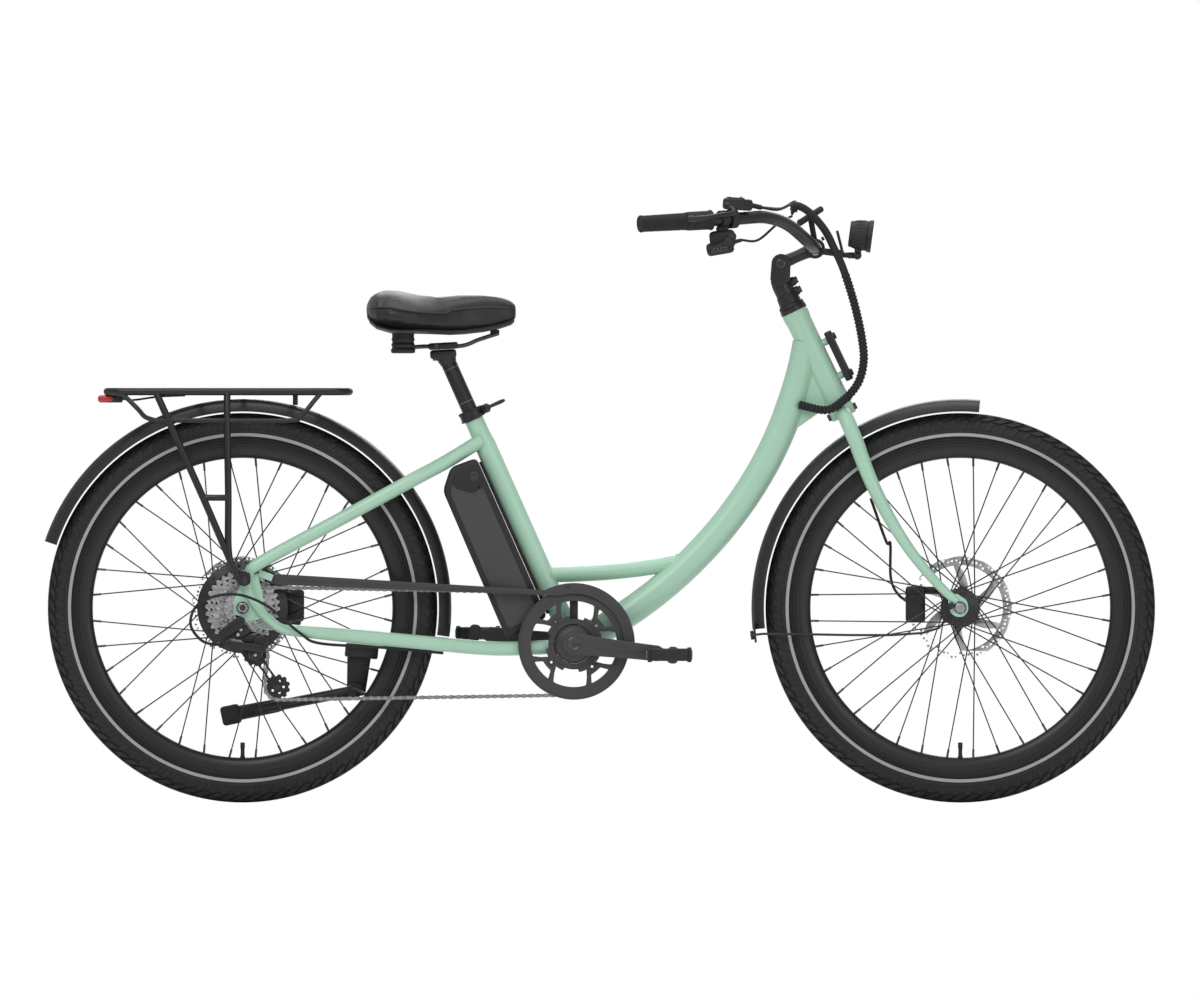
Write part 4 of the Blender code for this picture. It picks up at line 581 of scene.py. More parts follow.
def front_fender():
    """Front fender with its crown bracket and mud flap."""
    piece = Piece("fender_front", FENDER_BLACK)
    fender(piece, FRONT, 84.5, 186.0, 56)
    crown = steer(FORK_TOP - 0.0225, 0)
    piece.use(BLACK)
    piece.block(crown - STEER_UP * 0.006, (0.018, 0.016, 0.016), HEAD_ANGLE, 0.002)
    piece.use(FENDER_BLACK)
    piece.block(FRONT + direction(187.0) * (FENDER_R - 0.003), (0.004, 0.06, 0.034), 6, 0.0015)
    return piece.done("steering", ("front_fender",))


def rear_fender():
    """Rear fender."""
    piece = Piece("fender_rear", FENDER_BLACK)
    fender(piece, REAR, -8.0, 180 - 18.6, 84)
    return piece.done("frame", ("rear_fender",))


# ---------------------------------------------------------------- frame
def down_tube_line(count):
    """The curved main tube's centreline, from head to crank."""
    start = steer(-0.055, -0.006)
    end = CRANK + direction(26.5) * 0.012
    return bezier(start, start + direction(-97.2) * 0.228, end + direction(26.5) * 0.223, end, count)


def stay_line(side):
    """One side's stay, over the axle and back to the crank in a single bend."""
    spread = 0.058 * side
    dropout = 0.0795 * side
    return smooth([seat(0.39, 0.004, 0.012 * side), off(REAR, 0.352, 0.253, 0.03 * side),
            off(REAR, 0.29, 0.2195, 0.05 * side), off(REAR, 0.15, 0.1435, spread),
            off(REAR, 0.033, 0.08, dropout), off(REAR, 0.01, 0.058, dropout), off(REAR, 0.01, 0.03, dropout),
            off(REAR, 0.024, 0.004, dropout), off(REAR, 0.044, -0.019, dropout),
            off(REAR, 0.07, -0.037, dropout), off(REAR, 0.112, -0.042, dropout - 0.005 * side),
            off(REAR, 0.2, -0.05, 0.062 * side), off(REAR, 0.33, -0.062, 0.052 * side),
            off(REAR, 0.44, -0.071, 0.04 * side), off(CRANK, -0.03, -0.005, 0.028 * side)], 6)


def spread_radii(values, count):
    """Radii read off a short list, evenly along a line of so many points."""
    made = []
    for i in range(count):
        t = i / (count - 1) * (len(values) - 1)
        k = min(int(t), len(values) - 2)
        made.append(values[k] + (values[k + 1] - values[k]) * (t - k))
    return made


def weld(piece, point, axis, radius, width=0.0022):
    """Thin raised bead round a tube's joint."""
    ring = []
    axis = axis.normalized()
    normal = axis.cross(SIDE).normalized() if abs(axis.dot(SIDE)) < 0.9 else Vector((0, 0, 1))
    across = axis.cross(normal)
    for i in range(48):
        t = 2 * math.pi * i / 48
        ring.append(point + (normal * math.cos(t) + across * math.sin(t)) * radius
                + axis * 0.0005 * math.sin(t * 11))
    piece.sweep(ring, width, sides=8, closed=True)


def main_frame():
    """Main tubes, stays, dropouts and their welds."""
    piece = Piece("frame_mint", MINT)
    down = down_tube_line(48)
    radii = [0.0215 + 0.0035 * min(1, i / 8) for i in range(len(down))]
    piece.sweep(down, 0.025, radii, 40)
    piece.lathe(steer(-HEAD_LENGTH, 0), STEER_UP, [(0, 0.015), (0, 0.0225), (0.003, 0.0238), (0.01, 0.0236),
            (0.016, 0.0222), (0.085, 0.0215), (0.158, 0.022), (0.164, 0.0232), (0.173, 0.0234), (0.176, 0.0222),
            (0.176, 0.015)], 48)
    piece.lathe(seat(0.009, 0), SEAT_UP, [(0, 0.0185), (0.37, 0.0185), (0.392, 0.0165), (0.4175, 0.0163),
            (0.4185, 0.017), (0.4195, 0.0158), (0.4195, 0.0138), (0.3, 0.0138)], 40)
    piece.lathe(off(CRANK, 0, 0, -0.0365), SIDE, [(0, 0.016), (0, 0.0222), (0.0015, 0.0235), (0.0715, 0.0235),
            (0.073, 0.0222), (0.073, 0.016)], 48)
    bridge_start = seat(0.132, 0)
    end = down_tube_line(11)[7]
    bridge = bezier(bridge_start, off(bridge_start, 0.09, 0.001), off(end, -0.09, -0.022), end, 20)
    piece.sweep(bridge, 0.0135, sides=28)
    web = down_tube_line(11)
    piece.plate(rounded([steer(-0.03, 0.004), steer(-HEAD_LENGTH + 0.006, 0.004), web[3], web[1]], 0.006), -0.0105,
            0.0105, bevel=0.002, depth=3)
    values = [0.0122] * 3 + [0.0118, 0.011] + [0.0085] * 5 + [0.0105] + [0.0125] * 4
    for side in (-1, 1):
        line = stay_line(side)
        piece.sweep(line, 0.012, spread_radii(values, len(line)), 24)
        low, high = sorted((0.071 * side, 0.077 * side))
        outline = spots(REAR, (-0.016, 0.014), (-0.016, -0.016), (0.004, -0.026), (0.034, -0.02), (0.038, 0.01),
                (0.026, 0.06), (0.004, 0.055))
        piece.plate(rounded(outline, 0.008), low, high, [circle(REAR, 0.0062, 20)], bevel=0.0012, depth=2)
    hanger = spots(REAR, (-0.014, -0.01), (-0.016, -0.036), (0.002, -0.038), (0.006, -0.018))
    piece.plate(rounded(hanger, 0.005), -0.077, -0.071, bevel=0.001)
    piece.rod(off(REAR, 0.342, 0.2475, -0.034), off(REAR, 0.342, 0.2475, 0.034), 0.007)
    piece.rod(off(REAR, 0.43, -0.07, -0.043), off(REAR, 0.43, -0.07, 0.043), 0.008)
    weld(piece, seat(0.386, 0.0), SEAT_UP, 0.017, 0.001)
    weld(piece, bridge[1], bridge[2] - bridge[0], 0.014, 0.0016)
    weld(piece, bridge[-3], bridge[-2] - bridge[-4], 0.014, 0.0016)
    weld(piece, seat(0.03, 0), SEAT_UP, 0.0188, 0.0014)
    piece.use(BLACK)
    for side in (-1, 1):
        piece.lathe(off(CRANK, 0, 0, 0.0355 * side), SIDE * side, [(0, 0.012), (0, 0.0215), (0.0022, 0.0215),
                (0.003, 0.02), (0.003, 0.012)], 40, closed=True)
    piece.use(GLOSS)
    piece.rod(seat(0.25, 0.0172, 0.006), seat(0.25, 0.0202, 0.006), 0.004)
    return piece.done("frame", ("frame",))


def fork():
    """Curved fork with flattened tips, crown, steerer and lower headset race."""
    piece = Piece("fork_mint", MINT)
    piece.lathe(steer(FORK_TOP - 0.022, 0), STEER_UP, [(0, 0.012), (0, 0.021), (0.002, 0.0228), (0.019, 0.0228),
            (0.022, 0.0215), (0.022, 0.01)], 40)
    for side in (-1, 1):
        path = smooth([steer(*p) for p in ((FORK_TOP - 0.0135, 0.0, 0.01 * side),
                (FORK_TOP - 0.019, 0.001, 0.032 * side), (FORK_TOP - 0.038, 0.001, 0.0475 * side),
                (FORK_TOP - 0.075, -0.001, 0.05 * side))], 6)
        end = off(FRONT, -0.006, 0.01, 0.054 * side)
        path += bezier(steer(FORK_TOP - 0.075, -0.001, 0.05 * side), steer(FORK_TOP - FORK_LENGTH * 0.42, -0.014,
                0.0525 * side), steer(FORK_TOP - FORK_LENGTH * 0.72, -0.008, 0.0535 * side), end, 30)[1:]
        count = len(path)
        radii = []
        for i in range(count):
            t = i / (count - 1)
            radii.append(0.0125 + 0.001 * min(1, t * 4) - (0.0062 * max(0, (t - 0.4) / 0.6)))
        piece.sweep(path, 0.0135, radii, 24)
        low, high = sorted((0.05 * side, 0.056 * side))
        outline = spots(FRONT, (-0.022, 0.014), (-0.018, -0.008), (-0.008, -0.016), (0.006, -0.016), (0.015,
                -0.004), (0.012, 0.013), (-0.008, 0.026))
        piece.plate(rounded(outline, 0.006), low, high, bevel=0.0012, depth=2)
    piece.use(STEEL)
    piece.rod(steer(-HEAD_LENGTH + 0.02, 0), steer(-0.004, 0), 0.0143)
    piece.use(BLACK)
    piece.lathe(steer(FORK_TOP - 0.0005, 0), STEER_UP, [(0, 0.016), (0, 0.0235), (0.0012, 0.024), (0.0032, 0.024),
            (0.0042, 0.0225), (0.0042, 0.016)], 48)
    bolt(piece, steer(FORK_TOP - 0.0125, 0.0215), STEER_FORWARD, 0.0062, 0.006)
    bolt(piece, steer(FORK_TOP - 0.0125, -0.0215), -STEER_FORWARD, 0.0062, 0.006)
    return piece.done("steering", ("fork",))


# ---------------------------------------------------------------- stem, bar and controls
STEM_PIVOT = steer(0.0865, 0.0153)
BAR_CLAMP = steer(0.0846, 0.0798)
GRIP_END = off(BAR_CLAMP, -0.301, 0.043)
GRIP_START = off(BAR_CLAMP, -0.176, 0.05)
BAR_HALF = 0.345
GRIP_INNER = BAR_HALF - 0.048


def stem_base():
    """Quill, its two ears and its clamp bolts."""
    piece = Piece("stem_quill", BLACK)
    piece.lathe(steer(0.0003, 0), STEER_UP, [(0, 0.015), (0, 0.0232), (0.002, 0.0238), (0.0075, 0.0236),
            (0.0082, 0.0226), (0.0092, 0.0226), (0.01, 0.0234), (0.015, 0.0222), (0.0165, 0.02),
            (0.03, 0.0188), (0.033, 0.018), (0.0335, 0.0172), (0.04, 0.0172), (0.0405, 0.01)], 48)
    eye = [STEM_PIVOT + direction(10 * k) * 0.0168 for k in range(36)]
    outline = hull(eye + [steer(*p) for p in ((0.052, -0.016), (0.052, 0.016), (0.07, -0.0135))])
    for y in (-0.0185, 0.0115):
        piece.plate(outline, y, y + 0.007, bevel=0.0014, depth=2)
    piece.sweep([steer(*p) for p in ((0.034, 0), (0.05, 0.0), (0.06, 0.001), (0.068, 0.004))], 0.0174, [0.0174,
            0.0175, 0.017, 0.015], 36)
    for up, reach in ((0.0495, 0.0285), (0.032, 0.0275)):
        piece.use(BLACK)
        piece.rod(steer(up, 0.01), steer(up, reach - 0.004), 0.008, edge=0.0018)
        bolt(piece, steer(up, reach - 0.004), STEER_FORWARD, 0.0062, 0.005)
    bolt(piece, off(STEM_PIVOT, 0, 0, -0.0183), -SIDE, 0.0085, 0.0035)
    bolt(piece, off(STEM_PIVOT, 0, 0, 0.0183), SIDE, 0.0085, 0.0035)
    return piece.done("steering", ("stem_base",))


def stem_link():
    """Short tilting arm with the bar's face plate."""
    piece = Piece("stem_arm", BLACK)
    piece.rod(STEM_PIVOT - SIDE * 0.0108, STEM_PIVOT + SIDE * 0.0108, 0.0163, steps=40)
    run = (BAR_CLAMP - STEM_PIVOT)
    piece.sweep([STEM_PIVOT + run * t for t in (0.12, 0.3, 0.5, 0.7, 0.88)], 0.0105, [0.0118, 0.0108, 0.0104,
            0.011, 0.0125], 28)
    piece.lathe(BAR_CLAMP - SIDE * 0.021, SIDE, [(0, 0.012), (0, 0.0165), (0.0015, 0.0178), (0.0195, 0.0178),
            (0.0205, 0.017), (0.0215, 0.017), (0.0225, 0.0178), (0.0405, 0.0178), (0.042, 0.0165),
            (0.042, 0.012)], 40, closed=True)
    face = run.normalized()
    for y in (-0.013, 0.013):
        for z in (-0.011, 0.011):
            bolt(piece, off(BAR_CLAMP, 0, z, y) + face * 0.0125, face, 0.0034, 0.0052)
    return piece.done("handlebar", ("stem_link",))


def bar_side(side):
    """One half of the bar's centreline."""
    bend = smooth([off(BAR_CLAMP, 0, 0, 0.036 * side), off(BAR_CLAMP, -0.012, 0.012, 0.085 * side),
            off(BAR_CLAMP, -0.048, 0.042, 0.16 * side), off(BAR_CLAMP, -0.086, 0.0545, 0.222 * side),
            off(BAR_CLAMP, -0.13, 0.0525, 0.265 * side), GRIP_START + SIDE * GRIP_INNER * side], 8)
    return bend + [GRIP_END + SIDE * (BAR_HALF - 0.004) * side]


def handlebar():
    """Swept-back bar."""
    piece = Piece("bar", BLACK)
    piece.sweep(list(reversed(bar_side(-1))) + bar_side(1), 0.0111, sides=24)
    return piece.done("handlebar", ("handlebar",))


def grip(word, side):
    """Ribbed rubber grip with a smooth inner sleeve and a cupped end."""
    piece = Piece("grip_rubber_" + word, SOFT)
    start = GRIP_START + SIDE * GRIP_INNER * side
    end = GRIP_END + SIDE * (BAR_HALF - 0.004) * side
    run = (end - start).normalized()
    length = (end - start).length
    profile = [(0.004, 0.0114), (0.004, 0.0165), (0.0055, 0.0178), (0.0085, 0.0178), (0.0095, 0.0166)]
    u = 0.011
    while u < length * 0.34:
        profile += [(u, 0.0163), (u + 0.0008, 0.0166), (u + 0.002, 0.0166), (u + 0.0028, 0.0163)]
        u += 0.0034
    profile += [(u + 0.001, 0.0158), (u + 0.0025, 0.0163)]
    u += 0.004
    while u < length - 0.004:
        r = 0.016 - 0.0014 * (u / length)
        profile += [(u, r - 0.0011), (u + 0.0009, r - 0.0002), (u + 0.0019, r), (u + 0.0032, r - 0.0002), (u
                + 0.0041, r - 0.0011)]
        u += 0.0053
    profile += [(length + 0.001, 0.0152), (length + 0.0042, 0.015), (length + 0.006, 0.0132), (length + 0.006,
            0.006), (length + 0.0052, 0.005)]
    piece.lathe(start, run, profile, 40)
    return piece.done("handlebar", ("grip_" + word,))


def bar_run(side, along):
    """Point on the straight stretch that carries the controls."""
    start = off(BAR_CLAMP, -0.13, 0.0525, 0.265 * side)
    return start.lerp(GRIP_START + SIDE * GRIP_INNER * side, along)


def brake_perch(word, side):
    """Lever mount with its reservoir and hose boot."""
    piece = Piece("perch_" + word, PLASTIC)
    centre = bar_run(side, 0.32)
    run = (bar_run(side, 1) - bar_run(side, 0)).normalized()
    piece.collar(centre - run * 0.0075, run, 0.0118, 0.0168, 0.015, 0.0013)
    piece.block(off(centre, 0.01, 0.0252, -0.004 * side), (0.052, 0.021, 0.02), -4, 0.005, yaw=-28 * side,
            segments=3)
    piece.block(off(centre, 0.006, 0.0355, -0.003 * side), (0.03, 0.016, 0.004), -4, 0.0015, yaw=-28 * side)
    piece.sweep(smooth(spots(centre, (0.02, 0.024, -0.014 * side), (0.036, 0.023, -0.03 * side),
            (0.05, 0.02, -0.045 * side)), 4), 0.0045, sides=16)
    for x in (-0.004, 0.016):
        bolt(piece, off(centre, x, 0.037, (-0.003 - 0.2 * x) * side), Vector((0.06, 0, 1)), 0.0024, 0.0018)
    bolt(piece, off(centre, 0.0155, -0.006, 0), Vector((1, 0, -0.3)), 0.0032, 0.004)
    piece.use(SOFT)
    tip = off(centre, 0.05, 0.02, -0.045 * side)
    away = (tip - off(centre, 0.036, 0.023, -0.03 * side)).normalized()
    piece.rod(tip - away * 0.004, tip + away * 0.004, 0.0042, 0.003)
    return piece.done("handlebar", ("brake_perch_" + word,))


def lever_pivot(side):
    """Where a brake lever turns."""
    return off(bar_run(side, 0.32), -0.006, 0.0225, 0.022 * side)


def brake_lever(word, side):
    """Flat forged lever blade with a thick tip."""
    piece = Piece("lever_" + word, BLACK)
    pivot = lever_pivot(side)
    piece.rod(pivot - Vector((0, 0, 0.0052)), pivot + Vector((0, 0, 0.0052)), 0.0072)
    start = GRIP_START + SIDE * GRIP_INNER * side
    line = smooth([pivot, off(start, 0.034, 0.013, 0.014 * side), off(start, 0.01, 0.008, 0.036 * side),
            off(start, -0.012, 0.004, 0.052 * side), off(start, -0.034, 0.002, 0.062 * side),
            off(start, -0.046, 0.002, 0.066 * side)], 6)
    radii = spread_radii([0.005, 0.0048, 0.0044, 0.0043, 0.0046, 0.0052, 0.0044], len(line))
    piece.sweep(line, 0.0046, radii, 20)
    bolt(piece, pivot + Vector((0, 0, 0.005)), Vector((0, 0, 1)), 0.0036, 0.0016)
    return piece.done("brake_lever_" + word, ("brake_lever_" + word,))


def shifter():
    """Gear pod under the right side of the bar, with a row of green marks."""
    piece = Piece("shifter_pod", PLASTIC)
    centre = bar_run(-1, 0.68)
    run = (bar_run(-1, 1) - bar_run(-1, 0)).normalized()
    piece.collar(centre - run * 0.0062, run, 0.0118, 0.0157, 0.0124, 0.0012)
    piece.block(off(centre, 0, -0.0175), (0.022, 0.012, 0.012), 6, 0.003)
    piece.block(off(centre, 0, -0.0345, 0.004), (0.045, 0.033, 0.031), 6, 0.008, segments=4)
    piece.block(off(centre, -0.004, -0.05, 0.006), (0.048, 0.027, 0.023), 10, 0.007, segments=4)
    piece.rod(off(centre, 0.016, -0.03, -0.011), off(centre, 0.016, -0.03, -0.0145), 0.0085)
    bolt(piece, off(centre, 0.016, -0.03, -0.0143), -SIDE, 0.003, 0.0012)
    piece.use(SCREEN)
    piece.block(off(centre, -0.006, -0.05, -0.0078), (0.03, 0.0022, 0.014), 10, 0.001)
    piece.use(GREEN)
    for i in range(4):
        piece.block(off(centre, -0.014 + 0.0058 * i, -0.0512 + 0.001 * i, -0.0091), (0.0026, 0.0006, 0.0034), 10,
                0.0002)
    piece.use(PLASTIC)
    piece.rod(off(centre, 0.018, -0.04, 0.006), off(centre, 0.034, -0.036, 0.01), 0.0042, 0.003)
    return piece.done("handlebar", ("shifter",))


def shift_lever():
    """Thumb paddle."""
    piece = Piece("shift_paddle", PLASTIC)
    pivot = off(bar_run(-1, 0.68), 0.01, -0.038, -0.0125)
    piece.rod(pivot, off(pivot, 0, 0, -0.006), 0.008)
    line = smooth(spots(pivot, (0, 0, -0.0047), (-0.02, -0.008, -0.0065), (-0.034, -0.01, -0.01)), 6)
    piece.sweep(line, 0.0042, spread_radii([0.0036, 0.004, 0.0046, 0.004], len(line)), 16)
    bolt(piece, off(pivot, 0, 0, -0.006), -SIDE, 0.0034, 0.001)
    return piece.done("shift_lever", ("shift_lever",))


def display():
    """Screen over the stem."""
    piece = Piece("screen_unit", PLASTIC)
    piece.collar(BAR_CLAMP + SIDE * 0.0245, SIDE, 0.0116, 0.0165, 0.006)
    piece.block(off(BAR_CLAMP, -0.004, 0.033, 0.0275), (0.01, 0.006, 0.046), 10, 0.002)
    middle_point = off(BAR_CLAMP, -0.008, 0.0565)
    piece.block(middle_point, (0.053, 0.066, 0.011), 33, 0.0045, segments=4)
    up = direction(123)
    piece.use(SCREEN)
    piece.block(middle_point + up * 0.0048 + direction(33) * 0.003, (0.04, 0.056, 0.0022), 33, 0.001)
    piece.use(LINE)
    piece.block(middle_point + up * 0.006 + direction(33) * 0.006, (0.014, 0.022, 0.0003), 33, 0.0001)
    piece.block(middle_point + up * 0.006 + direction(33) * -0.008, (0.003, 0.04, 0.0003), 33, 0.0001)
    piece.use(SOFT)
    for y in (-0.02, 0, 0.02):
        piece.block(middle_point + up * 0.0052 - direction(33) * 0.0212 + SIDE * y, (0.006, 0.012, 0.002), 33, 0.0008)
    return piece.done("handlebar", ("display",))


LAMP_PIVOT = off(BAR_CLAMP, 0.074, -0.012)


def lamp_bracket():
    """Arm that holds the lamp ahead of the bar."""
    piece = Piece("lamp_bracket", BLACK)
    piece.collar(BAR_CLAMP - SIDE * 0.0305, SIDE, 0.0116, 0.0165, 0.006)
    piece.block(off(BAR_CLAMP, 0.022, -0.006, -0.0275), (0.052, 0.005, 0.012), -8, 0.0015)
    piece.block(off(BAR_CLAMP, 0.044, -0.008, -0.0165), (0.01, 0.027, 0.012), 0, 0.0015)
    piece.block(off(BAR_CLAMP, 0.044, 0.01, 0.0), (0.005, 0.014, 0.044), 14, 0.0015)
    piece.rod(off(BAR_CLAMP, 0.042, -0.011), off(LAMP_PIVOT, -0.0085, 0), 0.0048)
    piece.rod(LAMP_PIVOT + SIDE * 0.0075, LAMP_PIVOT + SIDE * 0.0115, 0.0075)
    piece.block(off(LAMP_PIVOT, -0.0125, 0, 0.005), (0.008, 0.013, 0.011), 0, 0.0015)
    piece.block(off(LAMP_PIVOT, -0.006, 0, 0.0095), (0.013, 0.004, 0.011), 0, 0.0012)
    bolt(piece, LAMP_PIVOT + SIDE * 0.0115, SIDE, 0.0045, 0.003)
    return piece.done("handlebar", ("headlight_bracket",))


def lamp():
    """Lamp with a ribbed body, deep bezel, reflector bowl and clear lens."""
    piece = Piece("lamp_housing", PLASTIC)
    back, front = off(BAR_CLAMP, 0.06, 0.026), off(BAR_CLAMP, 0.098, 0.021)
    run = (front - back)
    length = run.length
    profile = [(0, 0.014), (0, 0.0205), (0.0015, 0.0228)]
    profile += [(length - 0.0085, 0.0266), (length - 0.008, 0.0256)]
    profile += [(length - 0.006, 0.0272), (length - 0.004, 0.0283), (length + 0.0015, 0.0285), (length + 0.0022,
            0.0276), (length + 0.0018, 0.0255), (length - 0.003, 0.0245), (length - 0.006, 0.02)]
    piece.lathe(back, run, profile, 56)
    ahead = run.normalized()
    up = ahead.cross(SIDE)
    for k in range(24):
        t = math.radians(15 * k)
        out = SIDE * math.cos(t) + up * math.sin(t)
        piece.sweep([back + ahead * u + out * (0.0222 + 0.0038 * u / length) for u in (0.007, 0.012, 0.026, 0.03)],
                0.0018, [0.0008, 0.0018, 0.002, 0.0008], 8)
    piece.use(CHROME)
    piece.lathe(front - run.normalized() * 0.0055, run, [(0, 0.002), (0, 0.024), (0.0045, 0.0243), (0.0022, 0.015),
            (0.0008, 0.006)], 48)
    piece.use(LENS)
    piece.lathe(front - run.normalized() * 0.0008, run, [(0, 0.002), (0, 0.0248), (0.001, 0.0246), (0.0016, 0.016),
            (0.0019, 0.002)], 48)
    piece.use(PLASTIC)
    piece.block(off(LAMP_PIVOT, 0.001, 0.0105), (0.012, 0.012, 0.019), 0, 0.002)
    piece.rod(LAMP_PIVOT - SIDE * 0.006, LAMP_PIVOT + SIDE * 0.006, 0.0068)
    return piece.done("headlight", ("headlight",))


def loom():
    """Cables in a spiral wrap, from the bar over to the down tube."""
    entry = steer(-0.15, -0.062, -0.025)
    line = smooth([steer(0.16, 0.074, -0.036), steer(0.166, 0.083, -0.038), steer(0.146, 0.098, -0.041),
            steer(0.107, 0.109, -0.044), steer(0.071, 0.11, -0.046), steer(0.03, 0.109, -0.046),
            steer(-0.034, 0.1, -0.045), steer(-0.093, 0.086, -0.043), steer(-0.131, 0.071, -0.041),
            steer(-0.16, 0.046, -0.04), steer(-0.176, 0.01, -0.038), steer(-0.178, -0.024, -0.0365), entry], 20)
    piece = Piece("loom_wrap", SOFT)
    even = [line[0]]
    for point in line:
        while (point - even[-1]).length >= LOOM_STEP:
            even.append(even[-1] + (point - even[-1]).normalized() * LOOM_STEP)
    wrapped = len(even) * 0.34
    radii = [0.0068 if i < wrapped else (0.0076, 0.0077, 0.0074, 0.006)[i % 4] for i in range(len(even))]
    piece.sweep(even, 0.007, radii, 16)
    made = piece.done("frame", ("cable_loom",), ride=False)
    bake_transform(made)
    return made


def bar_cables():
    """Thin cables from the levers and the shifter along the bar to the wrap."""
    piece = Piece("bar_cables", SOFT)
    gather = steer(0.156, 0.07, -0.034)
    tip = off(bar_run(-1, 0.32), 0.05, 0.02, 0.045)
    piece.sweep(smooth([tip, off(tip, 0.03, -0.004, 0.06), off(tip, 0.052, 0.004, 0.13), gather], 8), 0.0024,
            sides=10)
    tip = off(bar_run(1, 0.32), 0.05, 0.02, -0.045)
    piece.sweep(smooth([tip, off(tip, 0.036, -0.002, -0.09), off(tip, 0.06, 0.01, -0.2),
            off(gather, 0.002, 0.003, 0.006)], 8), 0.0024, sides=10)
    tip = off(bar_run(-1, 0.68), 0.032, -0.036, 0.01)
    piece.sweep(smooth([tip, off(tip, 0.03, 0.0, 0.05), off(tip, 0.066, 0.03, 0.13),
            off(gather, -0.001, -0.004, 0.003)], 8), 0.0022, sides=10)
    return piece.done("handlebar", ())


def basket_bar():
    """Upright bar on the head tube's two bosses."""
    piece = Piece("basket_bar", BLACK)
    piece.block(steer(-0.102, 0.0365), (0.014, 0.03, 0.094), HEAD_ANGLE, 0.003)
    for up in (-0.067, -0.137):
        piece.use(BLACK)
        piece.rod(steer(up, 0.0425), steer(up, 0.0475), 0.0062)
        bolt(piece, steer(up, 0.0425), STEER_FORWARD, 0.0042, 0.0052)
    piece.use(MINT)
    for up in (-0.07, -0.134):
        piece.rod(steer(up, 0.018), steer(up, 0.031), 0.0066)
    return piece.done("frame", ("basket_bracket",))


# ---------------------------------------------------------------- seat and battery
SADDLE_ORIGIN = seat(0.56, 0.0)


def seat_clamp():
    """Collar round the seat tube's top."""
    piece = Piece("seat_collar", BLACK)
    piece.lathe(seat(0.4288, 0), SEAT_UP, [(0, 0.0139), (0, 0.0205), (0.0015, 0.0218), (0.0045, 0.0218),
            (0.0055, 0.0208), (0.013, 0.0208), (0.014, 0.0218), (0.0172, 0.0218), (0.0185, 0.0205),
            (0.0185, 0.0139)], 48, closed=True)
    piece.block(seat(0.438, -0.026), (0.014, 0.012, 0.016), 24, 0.002)
    return piece.done("frame", ("seat_clamp",))


def clamp_lever():
    """Quick-release handle."""
    piece = Piece("clamp_handle", BLACK)
    pivot = seat(0.438, -0.029, -0.0125)
    piece.rod(pivot - SEAT_UP * 0.0055, pivot + SEAT_UP * 0.0055, 0.0056)
    line = smooth([pivot, pivot - SEAT_BACK * 0.012 - SIDE * 0.002, pivot - SEAT_BACK * 0.024 - SIDE * 0.002,
            pivot - SEAT_BACK * 0.034 - SIDE * 0.001], 5)
    piece.sweep(line, 0.0034, spread_radii([0.0034, 0.003, 0.0034, 0.0036, 0.0024], len(line)), 16)
    return piece.done("clamp_lever", ("clamp_lever",))


def seat_post():
    """Post with two pale marks and its head."""
    piece = Piece("post", BLACK)
    piece.rod(seat(0.242, 0), seat(0.548, 0), 0.0136, steps=40)
    piece.lathe(seat(0.535, 0), SEAT_UP, [(0, 0.0136), (0.004, 0.015), (0.012, 0.0165), (0.018, 0.016)], 36)
    piece.block(SADDLE_ORIGIN + Vector((0, 0, -0.006)), (0.046, 0.034, 0.016), 3, 0.005, segments=3)
    bolt(piece, SADDLE_ORIGIN + Vector((-0.014, 0, -0.0135)), Vector((0, 0, -1)), 0.0042, 0.004)
    piece.use(LINE)
    for up in (0.462, 0.462 + 0.008 * 8):
        piece.lathe(seat(up, 0), SEAT_UP, [(0, 0.01355), (0, 0.01368), (0.0004, 0.01368), (0.0004, 0.01355)], 40,
                closed=True)
    return piece.done("seat", ("seat_post",))


def saddle_frame():
    """Rails, their clamp and the two springy bumpers."""
    piece = Piece("seat_rails", DARK_METAL)
    base = off(SADDLE_ORIGIN, 0, 0.0073)
    for side in (-1, 1):
        piece.sweep(smooth(spots(base, (0.096, 0.023, 0.006 * side), (0.062, 0.012, 0.014 * side),
                (0.03, 0.001, 0.021 * side), (-0.036, 0.0, 0.022 * side), (-0.07, -0.004, 0.034 * side)), 6),
                0.0037, sides=16)
    piece.use(PLASTIC)
    piece.block(off(base, 0, 0.001), (0.052, 0.056, 0.012), 3, 0.004, segments=3)
    for side in (-1, 1):
        centre = off(base, -0.07, -0.012, 0.038 * side)
        piece.lathe(centre, Vector((0, 0, 1)), [(0, 0.016), (0.001, 0.0205), (0.006, 0.0215), (0.0105, 0.019),
                (0.015, 0.0208), (0.0195, 0.0186), (0.024, 0.0204), (0.029, 0.019), (0.0358, 0.0195),
                (0.0362, 0.012)], 40)
    piece.block(off(base, -0.07, -0.008), (0.024, 0.08, 0.007), 0, 0.002)
    piece.block(off(base, 0.09, 0.0245), (0.016, 0.018, 0.01), 0, 0.002)
    bolt(piece, off(base, -0.012, 0.001, -0.028), -SIDE, 0.005, 0.004)
    bolt(piece, off(base, -0.012, 0.001, 0.028), SIDE, 0.005, 0.004)
    return piece.done("seat", ("saddle_rails",))


SADDLE_SECTIONS = (  # x ahead of the clamp, half width, bottom, top
    (-0.133, 0.052, 0.06, 0.08), (-0.127, 0.08, 0.048, 0.096), (-0.116, 0.102, 0.039, 0.103),
    (-0.092, 0.117, 0.032, 0.106), (-0.07, 0.117, 0.031, 0.1), (-0.045, 0.107, 0.031, 0.0945),
    (-0.012, 0.078, 0.03, 0.092), (0.012, 0.055, 0.029, 0.0935), (0.036, 0.041, 0.03, 0.096),
    (0.07, 0.031, 0.034, 0.098), (0.1, 0.027, 0.04, 0.095), (0.118, 0.022, 0.046, 0.089),
    (0.127, 0.014, 0.054, 0.08))


